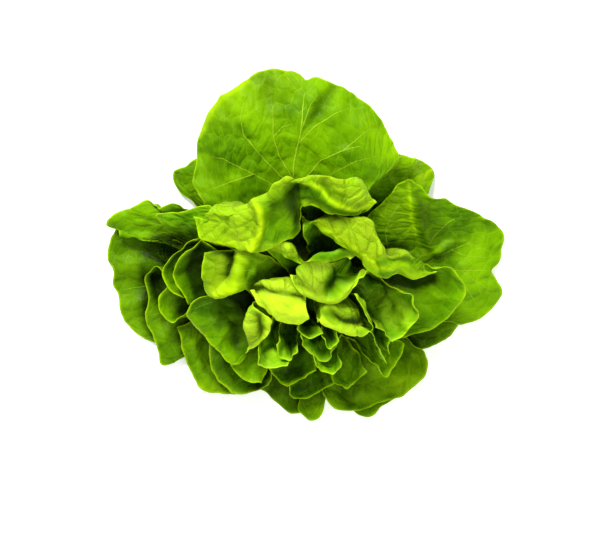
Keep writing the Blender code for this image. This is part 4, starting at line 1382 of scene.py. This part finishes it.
def painted_values(name, t, to_margin, paint):
    """The values that the materials read, for each point of the sheet."""
    leaf_light = PAINTED_LEAF_LIGHT.get(name, 0)
    return {
        "margin": 0.55 * np.exp(-((to_margin / RIM_MM[group_of(name)]) ** 2)),
        # On the face, base paints shade towards the stem; on the back it fades to cream.
        "base": 0.9 * np.clip(1 - t / BASE_REACH, 0, 1) ** 1.2,
        "root": 0.85 * np.clip(1 - t / ROOT_REACH, 0, 1),
        # Painted light and painted shade: the whole-leaf amount from the table plus the strokes.
        "pale": np.clip(max(leaf_light, 0) + paint["pale"], 0, 1),
        "shade": np.clip(max(-leaf_light, 0) + paint["shade"], 0, 1),
        "smooth": np.clip(paint["smooth"] + 0.8 * np.exp(-((to_margin / 4) ** 2)), -1, 1),
    }


def store(mesh, label, values):
    """Keeps one number a point on the mesh, for node trees to read."""
    layer = mesh.attributes.new(label, "FLOAT", "POINT")
    layer.data.foreach_set("value", np.asarray(values, np.float32))


print("paler or darker leaves:", len(PAINTED_LEAF_LIGHT))

# %% [markdown]
# The blade's mesh brings the shell and the painted values together. Its UV map holds the
# flat coordinates, in tenths of a metre, so the net of fine veins keeps its size on every
# leaf and follows the leaf wherever it bends.

# %% Make one blade
UV_UNIT_MM = 100


def make_blade(name, grid, flat, to_margin, t, s, paint):
    """The blade's mesh with its painted values and its UV map."""
    keel = KEEL_MM[point_count(name)] * (1 - t) ** 1.5 * np.exp(-((s / KEEL_WIDTH) ** 2))
    faces, edge = shell_faces(grid.shape[:2])
    points = shell_points(grid, edge, to_margin, keel)
    mesh = bpy.data.meshes.new(name + "_blade")
    mesh.from_pydata((points * METRES_PER_MM).tolist(), [], faces.tolist())
    mesh.shade_smooth()
    count = to_margin.size
    store(mesh, "back", np.concatenate([np.zeros(count), np.ones(count), np.full(len(edge), 0.5)]))
    for label, values in painted_values(name, t, to_margin, paint).items():
        values = np.broadcast_to(values, to_margin.shape).ravel()
        store(mesh, label, np.concatenate([values, values, values[edge]]))
    flat = flat.reshape(-1, 2)
    uv = np.concatenate([flat, flat, flat[edge]]) / UV_UNIT_MM
    corner = np.empty(len(mesh.loops), np.int32)
    mesh.loops.foreach_get("vertex_index", corner)
    mesh.uv_layers.new(name="blade").data.foreach_set("uv", uv[corner].astype(np.float32).ravel())
    mesh.materials.append(leaf_finish[group_of(name)])
    return mesh


print("the net of fine veins has", UV_UNIT_MM, "mm to a unit")

# %% [markdown]
# The vein paths of one leaf become a mesh of loose edges with a radius and a shade at each
# point. The vein tree sweeps them, the result is copied as a plain mesh, and the guide is
# thrown away together with its modifier. Thick veins stand proud of the blade on both sides.

# %% Grow the veins of one leaf
THINNEST_VEIN_MM = 0.37
VEIN_SHARE_OF_LEAF = 1 / 300
VEIN_SIDES = 4


def vein_guide(name, grid, shade, random):
    """The leaf's vein paths as loose edges, with a radius and a shade at each point."""
    size = lengths(grid, 0)[-1].max()
    if name in DRAWN_VEINS:
        paths = drawn_paths(name, grid)
    else:
        paths = vein_paths(SIDE_VEINS[point_count(name)], random)
    points, edges, radii, shades = [], [], [], []
    for across, out, share in paths:
        first = len(points)
        points += (on_sheet(grid, across, out) * METRES_PER_MM).tolist()
        shades += on_sheet(shade[..., None], across, out)[:, 0].tolist()
        radii += (THINNEST_VEIN_MM + share * size * VEIN_SHARE_OF_LEAF).tolist()
        edges += [(k, k + 1) for k in range(first, len(points) - 1)]
    mesh = bpy.data.meshes.new(name + "_vein_paths")
    mesh.from_pydata(points, edges, [])
    store(mesh, "vein_radius", np.array(radii) * METRES_PER_MM)
    store(mesh, "shade", shades)
    return placed(name + "_vein_paths", mesh)


def make_veins(name, grid, shade, random):
    """The leaf's veins as one mesh, swept by the vein tree."""
    guide = vein_guide(name, grid, shade, random)
    modifier = guide.modifiers.new("grow_veins", "NODES")
    modifier.node_group = vein_tree
    modifier[vein_inputs["thickness"]] = 1.0
    modifier[vein_inputs["sides"]] = VEIN_SIDES
    modifier[vein_inputs["finish"]] = vein_finish[group_of(name)]
    graph = bpy.context.evaluated_depsgraph_get()
    grown = bpy.data.meshes.new_from_object(guide.evaluated_get(graph))
    bpy.data.objects.remove(guide)
    grown.name = name + "_veins"
    return grown


print("veins have", VEIN_SIDES, "sides and a radius of", THINNEST_VEIN_MM, "mm or more")

# %% [markdown]
# Blade and veins are joined, so that each leaf is one piece, like the CAD node that it
# replaces. It rides on the body called root, which is the whole head. This cell takes most of
# the script's time.

# %% Make all the leaves
def joined(name, blade, veins):
    """One piece from the blade and its veins, with nothing below the table."""
    pieces = [placed(name + "_dressed", mesh) for mesh in (blade, veins)]
    with bpy.context.temp_override(
        active_object=pieces[0], selected_editable_objects=pieces, selected_objects=pieces
    ):
        bpy.ops.object.join()
    vertices = pieces[0].data.vertices
    points = np.empty(len(vertices) * 3, np.float32)
    vertices.foreach_get("co", points)
    points[2::3] = np.maximum(points[2::3], 0)
    vertices.foreach_set("co", points)
    return pieces[0]


def make_leaf(name):
    """Makes the leaf, puts it in place of its CAD node, and counts its faces."""
    grid, flat, to_margin, t, s, paint, random = shaped_sheet(name)
    blade = make_blade(name, grid, flat, to_margin, t, s, paint)
    veins = make_veins(name, grid, np.clip(paint["shade"], 0, 1), random)
    piece = joined(name, blade, veins)
    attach(piece, "root")
    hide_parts(name)
    return len(piece.data.polygons)


faces_made = {name: make_leaf(name) for name in leaf_names}
print("faces on each leaf:", faces_made, "total", sum(faces_made.values()))

# %% [markdown]
# The CAD stem has sixteen flat sides. Its points are sorted into rings along the axis, and
# each ring is put in order by the angle of its points round the axis.

# %% Read the rings of the stem
STEM_SIDES = 16


def stem_rings():
    """The CAD stem's points, ring by ring from the cut face into the head."""
    across = np.cross(STEM_AXIS, (0, 0, 1))
    across /= np.linalg.norm(across)
    other = np.cross(STEM_AXIS, across)
    height = (stem_points - stem_middle) @ STEM_AXIS
    rings = []
    for ring in np.argsort(height).reshape(-1, STEM_SIDES):
        points = stem_points[ring]
        from_axis = points - points.mean(axis=0)
        rings.append(points[np.argsort(np.arctan2(from_axis @ other, from_axis @ across))])
    return np.array(rings)


cad_rings = stem_rings()
print("stem rings:", len(cad_rings))

# %% [markdown]
# Smooth curves along the stem and round each ring make it round. At both ends smaller rings
# close it with a slightly hollow cap, as a knife leaves it. The curve round a ring has
# to meet itself, so a few points of the ring are repeated at either end before it is read.

# %% Make the round stem
STEM_FINE_SIDES = 64
STEM_FINE_RINGS = 48
CAP_RINGS = (0.96, 0.8, 0.55, 0.3, 0.1)
CAP_HOLLOW_MM = 0.8


def stem_rows():
    """Rings of points from the middle of the cut face to the middle of the deep end."""
    wanted = np.linspace(0, len(cad_rings) - 1, STEM_FINE_RINGS)
    along = smooth_through(cad_rings, wanted).swapaxes(0, 1)
    looped = np.concatenate([along[-2:], along, along[:3]])
    turns = 2 + np.arange(STEM_FINE_SIDES) * STEM_SIDES / STEM_FINE_SIDES
    skin = smooth_through(looped, turns).swapaxes(0, 1)
    caps = []
    for end, inwards in ((skin[0], STEM_AXIS), (skin[-1], -STEM_AXIS)):
        middle = end.mean(axis=0)
        caps.append([
            middle + (end - middle) * share + inwards * (1 - share) * CAP_HOLLOW_MM
            for share in CAP_RINGS
        ])
    return np.concatenate([caps[0][::-1], skin, caps[1]])


def make_stem():
    """The stem's mesh, with how far up the stem and off its axis each point is."""
    rows = stem_rows()
    index = np.arange(len(rows) * STEM_FINE_SIDES).reshape(len(rows), STEM_FINE_SIDES)
    after = np.roll(index, -1, axis=1)
    faces = np.stack([index[:-1], after[:-1], after[1:], index[1:]], -1).reshape(-1, 4).tolist()
    faces += [index[0, ::-1].tolist(), index[-1].tolist()]
    points = rows.reshape(-1, 3)
    mesh = bpy.data.meshes.new("stem_dressed")
    mesh.from_pydata((points * METRES_PER_MM).tolist(), [], faces)
    mesh.shade_smooth()
    up = (points - stem_middle) @ STEM_AXIS
    off_axis = np.linalg.norm(points - stem_middle - up[:, None] * STEM_AXIS, axis=1)
    off_axis = off_axis / off_axis.reshape(len(rows), -1)[len(CAP_RINGS)].mean()
    store(mesh, "up_the_stem", (up - up.min()) / (up.max() - up.min()))
    store(mesh, "off_axis", np.minimum(off_axis, 1))
    return placed("stem_dressed", mesh)


stem = make_stem()
print("faces on the stem:", len(stem.data.polygons))

# %% [markdown]
# The cut face is moist cream flesh that browns towards its edge and in a few blotches. The
# sides are a pale green, and the other end, deep in the heart, is painted dark as shade, since
# little light reaches it there. Two painted values blend these: how far up the stem, and how
# far off its axis.

# %% Finish the stem
PALE_SIDES = (0.50, 0.56, 0.20), (0.66, 0.70, 0.38)
FRESH_CUT, BROWN_RIM, BROWN_BLOTCH = (0.74, 0.66, 0.42), (0.46, 0.30, 0.12), (0.40, 0.27, 0.12)
SHADED_STEM_END_GREEN = (0.03, 0.09, 0.001)


def make_stem_material():
    """Cream flesh with a browned cut face."""
    material, tree, shader = new_material("stem_cream", Roughness=0.5, Specular_IOR_Level=0.1)
    place = tree.nodes.new("ShaderNodeTexCoord").outputs["Object"]
    blotches = place_group(tree, blotch_group, place, Scale=90).outputs["Mask"]
    up = stored_value(tree, "up_the_stem")
    near_rim = ramp_between(tree, stored_value(tree, "off_axis"), 0.35, 0.9)
    cut = mixed(tree, near_rim, FRESH_CUT, BROWN_RIM)
    cut = mixed(tree, math_node(tree, "MULTIPLY", blotches, 0.35), cut, BROWN_BLOTCH)
    colour = mixed(tree, blotches, *PALE_SIDES)
    colour = mixed(tree, ramp_between(tree, up, 0.05, 0.02), colour, cut)
    # Painted shade: the end deep in the heart turns dark green.
    colour = mixed(tree, ramp_between(tree, up, 0.35, 0.75), colour, SHADED_STEM_END_GREEN)
    tree.links.new(colour, shader.inputs["Base Color"])
    bump = tree.nodes.new("ShaderNodeBump")
    bump.inputs["Distance"].default_value = 0.0008
    bump.inputs["Strength"].default_value = 0.4
    tree.links.new(blotches, bump.inputs["Height"])
    tree.links.new(bump.outputs["Normal"], shader.inputs["Normal"])
    return material


stem.data.materials.append(make_stem_material())
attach(stem, "root")
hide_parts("stem")
print("stem finish:", stem.data.materials[0].name)
